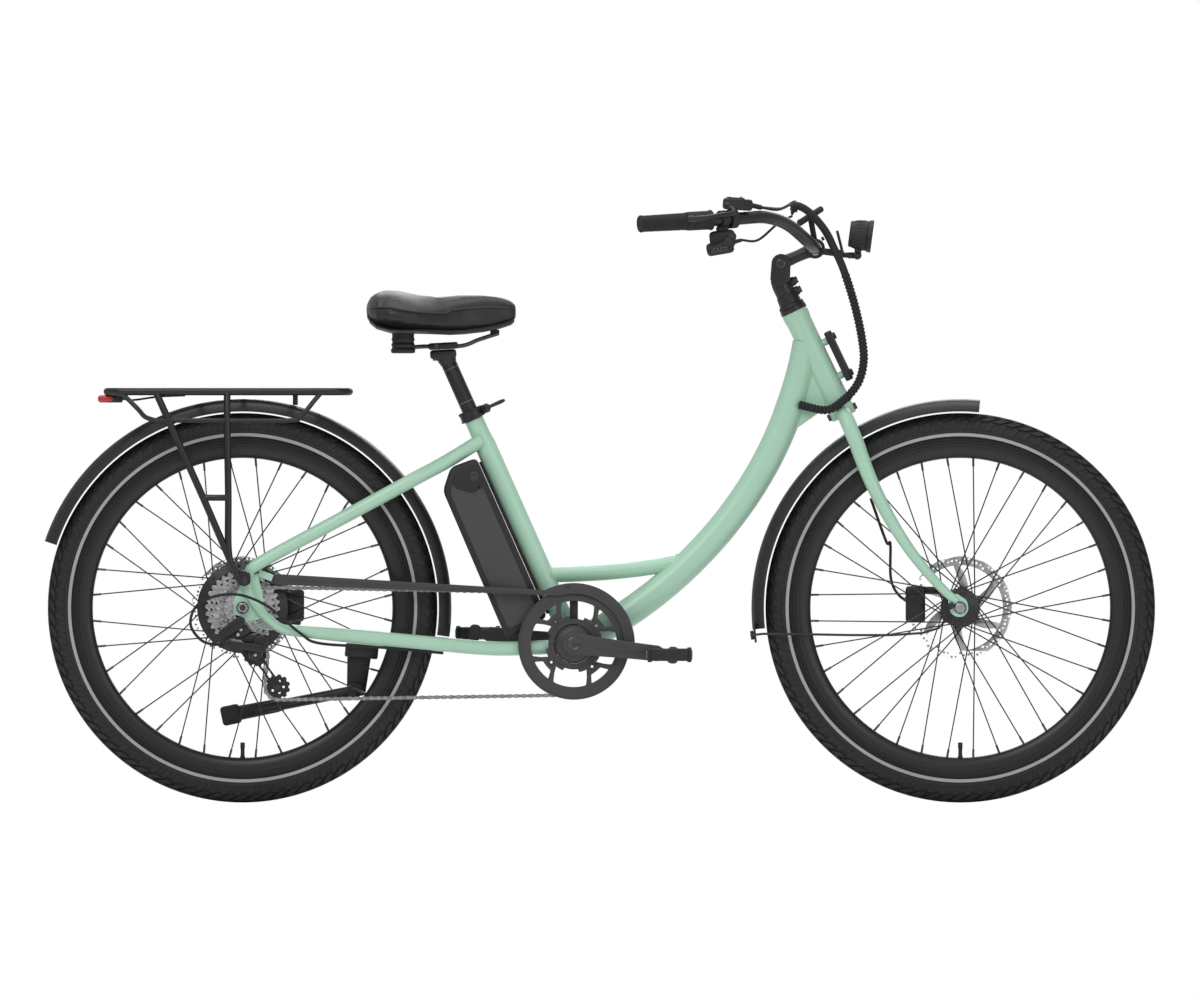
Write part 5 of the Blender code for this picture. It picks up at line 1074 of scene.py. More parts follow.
def saddle_ring(x, half, low, high, count, shrink=0.0):
    """One section of the cushion: flat base, full sides and a shallow groove along the top."""
    ring = []
    for i in range(count):
        t = 2 * math.pi * (i + 0.5) / count
        y = (half - shrink) * math.copysign(abs(math.cos(t)) ** 0.72, math.cos(t))
        lift = math.sin(t)
        z = (low + high) / 2 + ((high - low) / 2 - shrink) * (lift if lift > 0 else -abs(lift) ** 0.6)
        if lift > 0:
            z -= 0.0045 * math.exp(-(y / 0.012) ** 2) * min(1, max(0, (half - 0.02) / 0.05))
            z -= 0.01 * (abs(y) / half) ** 4 * (1 if half > 0.06 else 0.4)
        ring.append(off(SADDLE_ORIGIN, x, z, y))
    return ring


def saddle():
    """Padded cushion filled by pressure, with its seams and base shell."""
    piece = Piece("cushion", LEATHER)
    rings = []
    for a, b in zip(SADDLE_SECTIONS, SADDLE_SECTIONS[1:]):
        for k in range(4):
            t = k / 4
            rings.append(saddle_ring(*[p + (q - p) * t for p, q in zip(a, b)], 40, 0.0016))
    rings.append(saddle_ring(*SADDLE_SECTIONS[-1], 40, 0.0016))
    piece.loft(rings)
    made = piece.done("seat", (), ride=False)
    remesh = made.modifiers.new("even", "REMESH")
    remesh.mode = "VOXEL"
    remesh.voxel_size = 0.0045
    bpy.context.view_layer.objects.active = made
    made.select_set(True)
    bpy.ops.object.modifier_apply(modifier="even")
    rest = [v.co.copy() for v in made.data.vertices]
    group = made.vertex_groups.new(name="base")
    group.add([v.index for v in made.data.vertices if v.co.z < SADDLE_ORIGIN.z + 0.046], 1.0, "REPLACE")
    cloth = made.modifiers.new("fill", "CLOTH")
    cloth.settings.use_pressure = True
    cloth.settings.uniform_pressure_force = 4
    cloth.settings.vertex_group_mass = "base"
    cloth.settings.quality = 5
    cloth.settings.effector_weights.gravity = 0
    cloth.point_cache.frame_start = 1
    cloth.point_cache.frame_end = CLOTH_STEPS
    for step in range(1, CLOTH_STEPS + 1):
        bpy.context.scene.frame_set(step)
    solved = made.evaluated_get(bpy.context.evaluated_depsgraph_get())
    moved = [v.co.copy() for v in solved.data.vertices]
    made.modifiers.remove(cloth)
    bpy.context.scene.frame_set(1)
    for vertex, start, end in zip(made.data.vertices, rest, moved):
        run = end - start
        vertex.co = start + (run if run.length < CLOTH_REACH else run.normalized() * CLOTH_REACH)
    half = made.modifiers.new("round", "SUBSURF")
    half.levels = half.render_levels = 1
    bpy.context.view_layer.objects.active = made
    made.select_set(True)
    bpy.ops.object.modifier_apply(modifier="round")
    made.data.shade_smooth()
    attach(made, "seat")
    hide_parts("saddle")
    trim = Piece("saddle_seams", STITCH)
    for t in (24, 156):
        line = []
        for a, b in zip(SADDLE_SECTIONS[1:-1], SADDLE_SECTIONS[2:-1]):
            for k in range(4):
                section = [p + (q - p) * k / 4 for p, q in zip(a, b)]
                ring = saddle_ring(*section, 360)
                line.append(ring[t] + (ring[t] - off(SADDLE_ORIGIN, section[0],
                        (section[2] + section[3]) / 2)).normalized() * 0.0006)
        trim.sweep(line, 0.0013, sides=8)
    trim.use(PLASTIC)
    shell = []
    for a, b in zip(SADDLE_SECTIONS, SADDLE_SECTIONS[1:]):
        for k in range(3):
            x, half_width, low, _ = [p + (q - p) * k / 3 for p, q in zip(a, b)]
            ring = []
            for i in range(32):
                t = 2 * math.pi * (i + 0.5) / 32
                y = (half_width + 0.0006) * math.copysign(abs(math.cos(t)) ** 0.6, math.cos(t))
                ring.append(off(SADDLE_ORIGIN, x, low + 0.0035 + 0.0052 * math.sin(t), y))
            shell.append(ring)
    trim.loft(shell)
    trim.done("seat", ())
    return made


def battery():
    """Battery case: a dark grey side panel set into a black shell, with a lock and a generic ring mark."""
    piece = Piece("battery_case", PLASTIC)
    front = 0.0165 + 0.0065
    outline = rounded([seat(0.062, front), seat(0.366, front), seat(0.369, 0.071), seat(0.337, 0.1),
            seat(0.052, 0.104)], 0.01)
    half = 0.043
    centre = seat(0.21, 0.062)
    rings = []
    for y, grow in ((-half, -0.006), (-half + 0.002, -0.0025), (-half + 0.006, 0.0), (0.0, 0.0), (half - 0.006,
            0.0), (half - 0.002, -0.0025), (half, -0.006)):
        ring = []
        for point in outline:
            away = (point - centre)
            spot = point + away.normalized() * grow
            depth = y
            up = (spot - CRANK).dot(SEAT_UP)
            if y > 0:
                depth = min(y, 0.018 + (up - 0.051) * 1.45 + 0.004)
            ring.append(Vector((spot.x, depth, spot.z)))
        rings.append(ring)
    piece.loft(rings)
    piece.use(SLATE)
    panel = [seat(0.072, front + 0.011), seat(0.33, front + 0.011), seat(0.352, front + 0.02), seat(0.35, 0.066),
            seat(0.331, 0.09), seat(0.07, 0.094)]
    piece.plate(rounded(panel, 0.01), -half - 0.0006, -half + 0.003, bevel=0.001, depth=2)
    upper = [seat(0.12, front + 0.011), seat(0.33, front + 0.011), seat(0.352, front + 0.02), seat(0.35, 0.066),
            seat(0.331, 0.09), seat(0.1, 0.092)]
    piece.plate(rounded(upper, 0.01), half - 0.003, half + 0.0006, bevel=0.001, depth=2)
    piece.use(PLASTIC)
    piece.plate(rounded([seat(0.318, front + 0.009), seat(0.362, front + 0.008), seat(0.362, 0.066),
            seat(0.335, 0.082), seat(0.31, 0.052)], 0.01), -half - 0.0022, -half + 0.002, bevel=0.001, depth=2)
    lock = seat(0.338, front + 0.017, -half - 0.002)
    piece.use(DARK_METAL)
    piece.lathe(lock, -SIDE, [(0, 0.0085), (0.0016, 0.008), (0.002, 0.0066), (0.001, 0.006), (0.001, 0.001)], 32)
    piece.block(lock - SIDE * 0.0011, (0.0016, 0.0012, 0.0075), 24, 0.0003)
    piece.use(PLASTIC)
    piece.lathe(seat(0.318, front + 0.015, -half - 0.001), -SIDE, [(0, 0.0045), (0.0012, 0.0042),
            (0.0012, 0.001)], 24)
    return piece.done("battery", ("battery",))


# ---------------------------------------------------------------- rack
def rack_point(x, z, y=0.0):
    """Point by the rack's deck, above the rear axle."""
    return off(REAR, x, 0.384 + z, y)


def rack():
    """Tubular rack: hoop, slats, side rails and legs."""
    piece = Piece("rack_tubes", BLACK)
    half, z = 0.066, -0.007
    back = -0.238
    front = back + 0.424
    loop = [rack_point(*p) for p in ((back + 0.002, z, -half + 0.02), (back + 0.022, z, -half),
            (front - 0.022, z, -half), (front, z, -half + 0.02), (front, z, half - 0.02), (front - 0.022, z, half),
            (back + 0.022, z, half), (back + 0.002, z, half - 0.02))]
    piece.sweep(rounded(loop, 0.01), 0.0066, sides=16, closed=True)
    piece.plate(rounded([rack_point(*p) for p in ((back + 0.01, -0.0005), (back + 0.01, -0.0065), (front - 0.01,
            -0.0065), (front - 0.01, -0.0005))], 0.001), -0.0205, 0.0205, bevel=0.0008)
    for x in (-0.205, -0.158, -0.078, 0.002, 0.092, 0.15):
        piece.rod(rack_point(x, z, -half), rack_point(x, z, half), 0.0045, steps=16)
    piece.plate(rounded([rack_point(*p) for p in ((back + 0.004, -0.0035), (back + 0.004, -0.0125), (back + 0.018,
            -0.0125), (back + 0.018, -0.0035))], 0.001), -half + 0.014, half - 0.014, bevel=0.0008)
    for side in (-1, 1):
        outer = (half + 0.01) * side
        rail = smooth([rack_point(*p) for p in ((-0.211, -0.01, half * side), (-0.198, -0.022, half * side * 1.06),
                (-0.182, -0.038, outer), (-0.17, -0.051, outer), (-0.152, -0.0573, outer))], 6)
        rail += smooth([rack_point(*p) for p in ((-0.06, -0.0573, outer), (0.081, -0.0573, outer),
                (0.098, -0.052, outer), (0.112, -0.039, outer), (0.124, -0.024, half * side * 1.06),
                (0.136, -0.01, half * side))], 6)
        piece.sweep(rail, 0.0042, sides=14)
        leg = 0.0955 * side
        foot = off(REAR, -0.01, 0.0575, leg)
        piece.sweep(smooth([rack_point(-0.151, -0.008, half * side), rack_point(-0.127, -0.062, outer),
                off(REAR, -0.068, 0.19, outer * 0.35 + leg * 0.65), foot, off(REAR, 0.004, 0.047, leg)], 8),
                0.0062, sides=16)
        piece.sweep(smooth([rack_point(-0.027, -0.008, half * side), rack_point(-0.027, -0.06, outer),
                off(REAR, -0.025, 0.2, outer * 0.45 + leg * 0.55), off(REAR, -0.024, 0.095, leg),
                off(REAR, -0.01, 0.06, leg)], 8), 0.006, sides=16)
        piece.rod(off(REAR, -0.066, 0.192, leg * 0.93), off(REAR, -0.024, 0.192, leg * 0.93), 0.0055, steps=16)
        low, high = sorted((leg + 0.0062 * side, 0.0883 * side))
        piece.rod(off(REAR, 0.004, 0.047, low), off(REAR, 0.004, 0.047, high), 0.0078)
        piece.plate(rounded(spots(REAR, (0.014, 0.06), (-0.018, 0.072), (-0.016, 0.052), (0.002, 0.036),
                (0.014, 0.042)), 0.005), *sorted((leg - 0.003 * side, leg + 0.003 * side)), bevel=0.001)
        bolt(piece, off(REAR, 0.004, 0.047, leg + 0.0062 * side), SIDE * side, 0.0048, 0.0042)
    top = math.sqrt((FENDER_R + 0.0012) ** 2 - 0.092 ** 2)
    piece.rod(rack_point(0.092, z), off(REAR, 0.092, top), 0.0045)
    return piece.done("frame", ("rear_rack",))


def tail_light():
    """Red lens with ribs, and its wire."""
    piece = Piece("tail_lamp", PLASTIC)
    low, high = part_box("tail_light")
    centre = (low + high) / 2
    piece.block(centre + Vector((0.006, 0, 0)), (0.03, 0.088, 0.013), 0, 0.003, segments=3)
    piece.use(RED)
    piece.block(centre - Vector((0.0075, 0, 0)), (0.028, 0.0885, 0.0132), 0, 0.004, segments=3)
    for i in range(7):
        piece.block(centre + Vector((-0.0215, 0.012 * (i - 3), 0)), (0.0016, 0.0085, 0.008), 0, 0.0006)
    piece.use(SOFT)
    piece.sweep(smooth([centre + Vector((0.02, 0.0, 0)), centre + Vector((0.04, 0.004, -0.002)), centre
            + Vector((0.085, 0.008, 0.004)), centre + Vector((0.13, 0.01, 0.006))], 6), 0.0018, sides=8)
    return piece.done("frame", ("tail_light",))


# ---------------------------------------------------------------- drive
PITCH = 0.0127
CHAIN_Y = -0.05


def pitch_radius(teeth):
    """Radius of the chain's pins on a sprocket."""
    return PITCH / (2 * math.sin(math.pi / teeth))


GUIDE = off(REAR, 0.022, -0.08, CHAIN_Y)
TENSION = off(REAR, 0.061, -0.138, CHAIN_Y)


def toothed(centre, teeth, tip=0.003, root=0.0036, turn=0.0):
    """Outline of a sprocket: round roots that seat the rollers, and blunt tips."""
    radius = pitch_radius(teeth)
    line = []
    step = 360 / teeth
    for i in range(teeth):
        base = turn + i * step
        for share, r in ((0.0, radius - root), (0.16, radius - root * 0.75), (0.3, radius - 0.0004), (0.43, radius
                + tip), (0.57, radius + tip), (0.7, radius - 0.0004), (0.84, radius - root * 0.75)):
            line.append(centre + direction(base + share * step) * r)
    return line


def cassette():
    """Eight toothed sprockets with windows, on a lockring and spacers."""
    piece = Piece("sprockets", STEEL)
    for i, teeth in enumerate(SPROCKETS):
        y = CHAIN_Y + 0.0045 * (i - 3)
        root = 0.0058 if teeth == RUNNING_TEETH else 0.0046
        tip = -0.0012 if teeth == RUNNING_TEETH else 0.0006
        inner = 0.0185 if teeth < 20 else 0.024
        holes = [circle(REAR, inner if teeth > 12 else 0.014, 32)]
        if teeth > 20:
            outer = pitch_radius(teeth) - 0.009
            for k in range(6):
                start = 60 * k + teeth * 3
                if outer - 0.027 > 0.004:
                    holes.append(arc(REAR, outer, start, start + 40, 6) + arc(REAR, 0.028, start + 36, start + 4, 4))
                else:
                    holes.append(circle(REAR + direction(start) * (outer - 0.003), 0.0022, 10))
        piece.plate(toothed(REAR, teeth, tip, root, 7 * i), y - 0.0009, y + 0.0009, holes, bevel=0.0002)
    piece.use(DARK_METAL)
    piece.lathe(off(REAR, 0, 0, CHAIN_Y - 0.0175), SIDE, [(0, 0.007), (0, 0.015), (0.001, 0.0165),
            (0.004, 0.0168), (0.0055, 0.0182), (0.016, 0.0182), (0.016, 0.0235), (0.035, 0.0238),
            (0.0355, 0.007)], 48, closed=True)
    return piece.done("cassette", ("cassette",))


def chainring():
    """Toothed ring behind a windowed guard, on four bolts."""
    piece = Piece("ring_teeth", CHAIN_METAL)
    piece.plate(toothed(CRANK, RING_TEETH, 0.0004, 0.0044), CHAIN_Y - 0.0011, CHAIN_Y + 0.0011,
            [circle(CRANK, 0.0765, 64)], bevel=0.0002)
    piece.use(DARK_METAL)
    for i in range(4):
        for lean in (-19, 19):
            inner = CRANK + direction(129 + 90 * i + lean * 0.35) * 0.048
            outer = CRANK + direction(129 + 90 * i + lean) * 0.0785
            piece.block((inner + outer) / 2 + SIDE * CHAIN_Y, ((outer - inner).length, 0.0021, 0.0075),
                    math.degrees(math.atan2(outer.z - inner.z, outer.x - inner.x)), 0.0005)
    piece.plate(circle(CRANK, 0.044, 64), CHAIN_Y - 0.0011, CHAIN_Y + 0.0011, [circle(CRANK, 0.034, 40)],
            bevel=0.0002)
    piece.use(GREY)
    windows = []
    for i in range(4):
        middle_way = 84 + 90 * i
        edge = math.degrees(math.asin(0.0285 / 0.075))
        inside = math.degrees(math.asin(0.0285 / 0.05))
        windows.append(rounded(arc(CRANK, 0.075, middle_way - edge, middle_way + edge, 8)
                + arc(CRANK, 0.05, middle_way + inside, middle_way + 16, 3)
                + arc(CRANK, 0.0445, middle_way + 16, middle_way - 16, 5)
                + arc(CRANK, 0.05, middle_way - 16, middle_way - inside, 3), 0.003))
        middle_way += 45
        windows.append(rounded(arc(CRANK, 0.075, middle_way - 14.5, middle_way + 14.5, 6)
                + arc(CRANK, 0.0615, middle_way + 9.5, middle_way - 9.5, 4), 0.002))
        windows.append(circle(CRANK + direction(middle_way) * 0.0505, 0.0022, 16))
    piece.plate(circle(CRANK, 0.0972, 144), CHAIN_Y - 0.0075, CHAIN_Y - 0.0045, [circle(CRANK, 0.0345, 40)]
            + windows, bevel=0.0008, depth=2)
    piece.lathe(CRANK + SIDE * (CHAIN_Y - 0.0098), SIDE, [(0, 0.035), (0, 0.0415), (0.001, 0.0425),
            (0.005, 0.0425), (0.005, 0.035)], 64, closed=True)
    piece.lathe(CRANK + SIDE * (CHAIN_Y - 0.0082), SIDE, [(0, 0.0945), (0, 0.0962), (0.0012, 0.0968),
            (0.0014, 0.094)], 120, closed=True)
    for i in range(4):
        spot = CRANK + direction(129 + 90 * i) * 0.0505 + SIDE * (CHAIN_Y - 0.0079)
        piece.use(DARK_METAL)
        piece.lathe(spot, SIDE, [(0, 0.0024), (0, 0.0052), (0.0008, 0.0056), (0.008, 0.0056), (0.008, 0.0024)],
                24, closed=True)
    return piece.done("crank", ("chainring",))


def chain_line():
    """The chain's closed path in its own plane, with even steps."""
    def touch(a, ra, side_a, b, rb, side_b):
        run = Vector((b.x - a.x, 0, b.z - a.z))
        length = run.length
        along = run / length
        across = Vector((-along.z, 0, along.x))
        sine = (ra * side_a - rb * side_b) / length
        normal = along * sine + across * math.sqrt(1 - sine * sine)
        return a + normal * ra * side_a, b + normal * rb * side_b

    flat = [Vector((p.x, 0, p.z)) for p in (CRANK, TENSION, GUIDE, REAR)]
    radii = [pitch_radius(t) for t in (RING_TEETH, PULLEY_TEETH, PULLEY_TEETH, RUNNING_TEETH)]
    sides = (1, 1, -1, 1)
    straights = [touch(flat[i], radii[i], sides[i], flat[(i + 1) % 4], radii[(i + 1) % 4], sides[(i + 1) % 4])
            for i in range(4)]
    points = []
    for i in range(4):
        begin, end = straights[i]
        reach = (end - begin).length
        pieces = max(2, int(reach / 0.001))
        points += [begin.lerp(end, k / pieces) for k in range(pieces)]
        j = (i + 1) % 4
        centre, radius, side = flat[j], radii[j], sides[j]
        first = math.atan2(end.z - centre.z, end.x - centre.x)
        last = math.atan2(straights[j][0].z - centre.z, straights[j][0].x - centre.x)
        sweep = last - first
        while sweep * side > 0:
            sweep -= side * 2 * math.pi
        while sweep * side < -2 * math.pi:
            sweep += side * 2 * math.pi
        pieces = max(2, int(abs(sweep) * radius / 0.001))
        points += [centre + Vector((math.cos(first + sweep * k / pieces), 0,
                math.sin(first + sweep * k / pieces))) * radius for k in range(pieces)]
    return points


def chain():
    """Every link of the chain: waisted side plates, alternately inside and outside, on round pins."""
    piece = Piece("chain_links", CHAIN_METAL)
    path = chain_line()
    reach = [0.0]
    for a, b in zip(path, path[1:] + path[:1]):
        reach.append(reach[-1] + (b - a).length)
    total = reach[-1]
    count = 2 * round(total / PITCH / 2)
    pins = []
    k = 0
    for i in range(count):
        at = total * i / count
        while reach[k + 1] < at:
            k += 1
        t = (at - reach[k]) / (reach[k + 1] - reach[k])
        pins.append(path[k].lerp(path[(k + 1) % len(path)], t))
    other = bmesh.new()
    for i in range(count):
        a, b = pins[i], pins[(i + 1) % count]
        run = (b - a).normalized()
        across = Vector((-run.z, 0, run.x))
        gap = 0.0012 if i % 2 else 0.0022
        wide = 0.0036
        outline = []
        for centre, begin in ((b, -90), (a, 90)):
            for q in range(5):
                t = math.radians(begin + 45 * q)
                outline.append(centre + (run * math.cos(t) + across * math.sin(t)) * wide)
            outline.append((a + b) / 2 + across * (0.0024 if begin < 0 else -0.0024))
        for side in (-1, 1):
            low = [other.verts.new(p + SIDE * (CHAIN_Y + gap * side)) for p in outline]
            high = [other.verts.new(p + SIDE * (CHAIN_Y + (gap + 0.0009) * side)) for p in outline]
            n = len(outline)
            other.faces.new(low if side < 0 else low[::-1])
            other.faces.new(high if side > 0 else high[::-1])
            for q in range(n):
                m = (q + 1) % n
                other.faces.new((low[q], low[m], high[m], high[q]))
    piece.take(other)
    pegs = bmesh.new()
    for pin in pins:
        rows = []
        for y in (-0.0033, 0.0033):
            rows.append([pegs.verts.new(pin + direction(60 * q) * 0.0017 + SIDE * (CHAIN_Y + y)) for q in range(6)])
        pegs.faces.new(rows[0])
        pegs.faces.new(rows[1][::-1])
        for q in range(6):
            m = (q + 1) % 6
            pegs.faces.new((rows[0][q], rows[0][m], rows[1][m], rows[1][q]))
    piece.use(STEEL)
    piece.take(pegs)
    return piece.done("frame", ("chain",))


def pulley(name, centre, node, body):
    """Small toothed wheel on a bushing."""
    piece = Piece(name, PLASTIC)
    holes = [circle(centre, 0.0055, 16)] + [circle(centre + direction(72 * i) * 0.0105, 0.0022, 10) for i in range(5)]
    piece.plate(toothed(centre, PULLEY_TEETH, -0.0006, 0.004), CHAIN_Y - 0.0009, CHAIN_Y + 0.0009, holes,
            bevel=0.0003)
    piece.use(STEEL)
    piece.lathe(centre - SIDE * 0.0035, SIDE, [(0, 0.0031), (0, 0.005), (0.0004, 0.0055), (0.0066, 0.0055),
            (0.007, 0.005), (0.007, 0.0031)], 24, closed=True)
    return piece.done(body, (node,))


def cage():
    """Two slotted plates that hold the pulleys."""
    piece = Piece("cage_plates", BLACK)
    run = (TENSION - GUIDE).normalized()
    across = Vector((-run.z, 0, run.x))
    for side in (-1, 1):
        low, high = sorted((CHAIN_Y + 0.0046 * side, CHAIN_Y + 0.0061 * side))
        outline = [GUIDE - run * 0.01 + across * 0.006, GUIDE - run * 0.01 - across * 0.006,
                GUIDE - across * 0.0105, GUIDE + run * 0.035 - across * 0.0065, TENSION - across * 0.0085, TENSION
                + run * 0.01 - across * 0.005, TENSION + run * 0.01 + across * 0.005, TENSION + across * 0.0085,
                GUIDE + run * 0.035 + across * 0.0065, GUIDE + across * 0.0105]
        middle_hole = [GUIDE + run * 0.022 + across * 0.0035, GUIDE + run * 0.05 + across * 0.003, GUIDE
                + run * 0.05 - across * 0.003, GUIDE + run * 0.022 - across * 0.0035]
        piece.plate(rounded(outline, 0.006), low, high, [rounded(middle_hole, 0.003)], bevel=0.0004)
    for centre in (GUIDE, TENSION):
        piece.use(STEEL)
        piece.rod(centre - SIDE * 0.0055, centre + SIDE * 0.0055, 0.0028)
        bolt(piece, centre - SIDE * 0.006, -SIDE, 0.0044, 0.0022)
    return piece.done("derailleur_cage", ("derailleur_cage",))


def derailleur():
    """Hanger bolt, knuckles and parallelogram."""
    piece = Piece("derailleur_links", BLACK)
    hang = off(REAR, -0.006, -0.026)
    y = -0.0773
    piece.rod(off(hang, 0, 0, y), off(hang, 0, 0, y - 0.016), 0.0092, edge=0.002)
    bolt(piece, off(hang, 0, 0, y - 0.0158), -SIDE, 0.0066, 0.003, STEEL)
    piece.block(off(hang, 0.006, -0.016, y - 0.009), (0.026, 0.015, 0.02), 35, 0.005, segments=3)
    piece.block(off(hang, 0.018, -0.025, y - 0.009), (0.05, 0.0075, 0.01), -40, 0.002)
    piece.block(off(hang, 0.018, -0.037, y - 0.002), (0.05, 0.0075, 0.01), -40, 0.002)
    piece.block(off(GUIDE, 0.0, 0.016, -0.026), (0.026, 0.024, 0.022), -20, 0.006, segments=3)
    piece.rod(Vector((GUIDE.x, CHAIN_Y - 0.0064, GUIDE.z)), Vector((GUIDE.x, y - 0.008, GUIDE.z)), 0.0125, edge=0.003)
    bolt(piece, Vector((GUIDE.x, y - 0.008, GUIDE.z)), -SIDE, 0.005, 0.0022, STEEL)
    knuckle = off(REAR, 0.032, -0.062)
    piece.plate(hull([off(hang, 0, 0) + direction(30 * k) * 0.0105 for k in range(12)]
            + [off(REAR, -0.034, -0.046) + direction(30 * k) * 0.0085 for k in range(12)]), y - 0.021, y - 0.011,
            bevel=0.002, depth=2)
    piece.plate(hull([off(REAR, -0.034, -0.05) + direction(30 * k) * 0.009 for k in range(12)]
            + [off(REAR, -0.024, -0.066) + direction(30 * k) * 0.0065 for k in range(12)]), y - 0.02, y - 0.006,
            bevel=0.002, depth=2)
    for shift in (0.006, -0.01):
        piece.plate(hull([off(REAR, -0.026, -0.052 + shift) + direction(30 * k) * 0.006 for k in range(12)]
                + [knuckle + Vector((0, 0, shift)) + direction(30 * k) * 0.007 for k in range(12)]), y - 0.019
                + shift, y - 0.012 + shift, bevel=0.0018, depth=2)
    piece.plate(hull([knuckle + direction(20 * k) * 0.014 for k in range(18)]
            + [GUIDE + direction(30 * k) * 0.0095 for k in range(12)]), y - 0.018, CHAIN_Y - 0.0068, bevel=0.003,
            depth=2)
    piece.use(STEEL)
    for x, z in ((0.003, -0.012), (0.033, -0.048), (-0.002, -0.021), (0.028, -0.056)):
        piece.rod(off(hang, x, z, y - 0.0165), off(hang, x, z, y - 0.0185), 0.003, steps=14)
    piece.use(DARK_METAL)
    piece.rod(off(hang, -0.02, -0.03, y - 0.012), off(hang, -0.046, -0.04, y - 0.012), 0.0032, 0.0026, steps=16)
    return piece.done("frame", ("derailleur_body",))


def crank_arm(piece, side, angle):
    """Tapering arm with a cap and the pedal's thread."""
    inner, outer = 0.068 * side, 0.083 * side
    low, high = sorted((inner, outer))
    run = direction(angle)
    across = Vector((-run.z, 0, run.x))
    end = CRANK + run * CRANK_LENGTH
    outline = []
    for k in range(13):
        t = math.radians(90 + 15 * k)
        outline.append(CRANK + (run * math.cos(t) + across * math.sin(t)) * 0.0203)
    for share, width in ((0.25, 0.0168), (0.6, 0.0146), (0.88, 0.0138)):
        outline.append(CRANK + run * CRANK_LENGTH * share - across * width)
    outline += rounded([end - across * 0.015 - run * 0.004, end - across * 0.015 + run * 0.0155, end
            + across * 0.015 + run * 0.0155, end + across * 0.015 - run * 0.004], 0.009)
    for share, width in ((0.88, 0.0138), (0.6, 0.0146), (0.25, 0.0168)):
        outline.append(CRANK + run * CRANK_LENGTH * share + across * width)
    piece.plate(outline, low, high, bevel=0.0028, depth=3)
    piece.use(GREY)
    piece.block(CRANK + run * 0.086 + SIDE * 0.0833 * side, (0.092, 0.0012, 0.0065), angle, 0.0005)
    piece.use(DARK_METAL)
    piece.lathe(CRANK + SIDE * 0.0825 * side, SIDE * side, [(0, 0.0125), (0.0012, 0.0122), (0.0022, 0.01),
            (0.001, 0.008), (0.001, 0.002)], 32)
    piece.use(STEEL)
    piece.lathe(end + SIDE * 0.0826 * side, SIDE * side, [(0, 0.0078), (0.001, 0.0075), (0.0012, 0.005),
            (0.0002, 0.0045), (0.0002, 0.001)], 24)


def cranks():
    """Both arms with the axle between them."""
    piece = Piece("arm_right", GREY)
    crank_arm(piece, -1, CRANK_PITCH)
    piece.use(GREY)
    piece.lathe(CRANK + SIDE * (CHAIN_Y + 0.004), -SIDE, [(0, 0.02), (0, 0.0325), (0.002, 0.0338),
            (0.014, 0.0335), (0.02, 0.029), (0.0235, 0.022), (0.0235, 0.01)], 56)
    piece.use(DARK_METAL)
    piece.rod(off(CRANK, 0, 0, 0.0677), off(CRANK, 0, 0, -0.078), 0.0105)
    piece.done("crank", ("crank_right",))
    piece = Piece("arm_left", GREY)
    crank_arm(piece, 1, CRANK_PITCH + 180)
    piece.use(GREY)
    piece.lathe(off(CRANK, 0, 0, 0.0405), SIDE, [(0, 0.011), (0, 0.0165), (0.002, 0.018), (0.026, 0.0185),
            (0.0285, 0.019), (0.0285, 0.011)], 40, closed=True)
    piece.done("crank", ("crank_left",))


def pedal(word, centre, side):
    """Moulded platform with ribs, grip studs, an axle and two reflectors on each face."""
    piece = Piece("platform_" + word, PLASTIC)
    y0, y1 = 0.092 * side, 0.184 * side
    middle_y = (y0 + y1) / 2
    piece.lathe(off(centre, 0, 0, 0.0835 * side), SIDE * side, [(0, 0.007), (0.006, 0.0072), (0.008, 0.0092),
            (0.03, 0.0105), (0.06, 0.0092), (0.094, 0.0085), (0.0965, 0.007)], 28)
    for x in (-0.034, 0.034):
        piece.use(PLASTIC)
        piece.block(off(centre, x, 0, middle_y), (0.01, 0.091, 0.024), 0, 0.003, segments=3)
        for k in range(7):
            for z in (-1, 1):
                piece.block(off(centre, x * 1.02, 0.0122 * z, middle_y + 0.0125 * (k - 3)), (0.007, 0.005, 0.0018),
                        0, 0.0006)
        piece.use(AMBER)
        piece.block(off(centre, x * 1.135, 0, middle_y), (0.0024, 0.05, 0.015), 0, 0.0008)
        for k in range(6):
            piece.block(off(centre, x * 1.168, 0, middle_y + 0.008 * (k - 2.5)), (0.0009, 0.006, 0.012), 0, 0.0003)
        piece.use(PLASTIC)
    for y in (y0 + 0.006 * side, y1 - 0.006 * side):
        piece.block(off(centre, 0, 0, y), (0.072, 0.011, 0.022), 0, 0.003, segments=3)
    for y in (0.3, 0.7):
        piece.block(off(centre, 0, 0, y0 + (y1 - y0) * y), (0.066, 0.004, 0.018), 0, 0.001)
    piece.use(STEEL)
    piece.rod(off(centre, 0, 0, 0.0834 * side), off(centre, 0, 0, 0.0895 * side), 0.0078)
    return piece.done("pedal_" + word, ("pedal_" + word,))


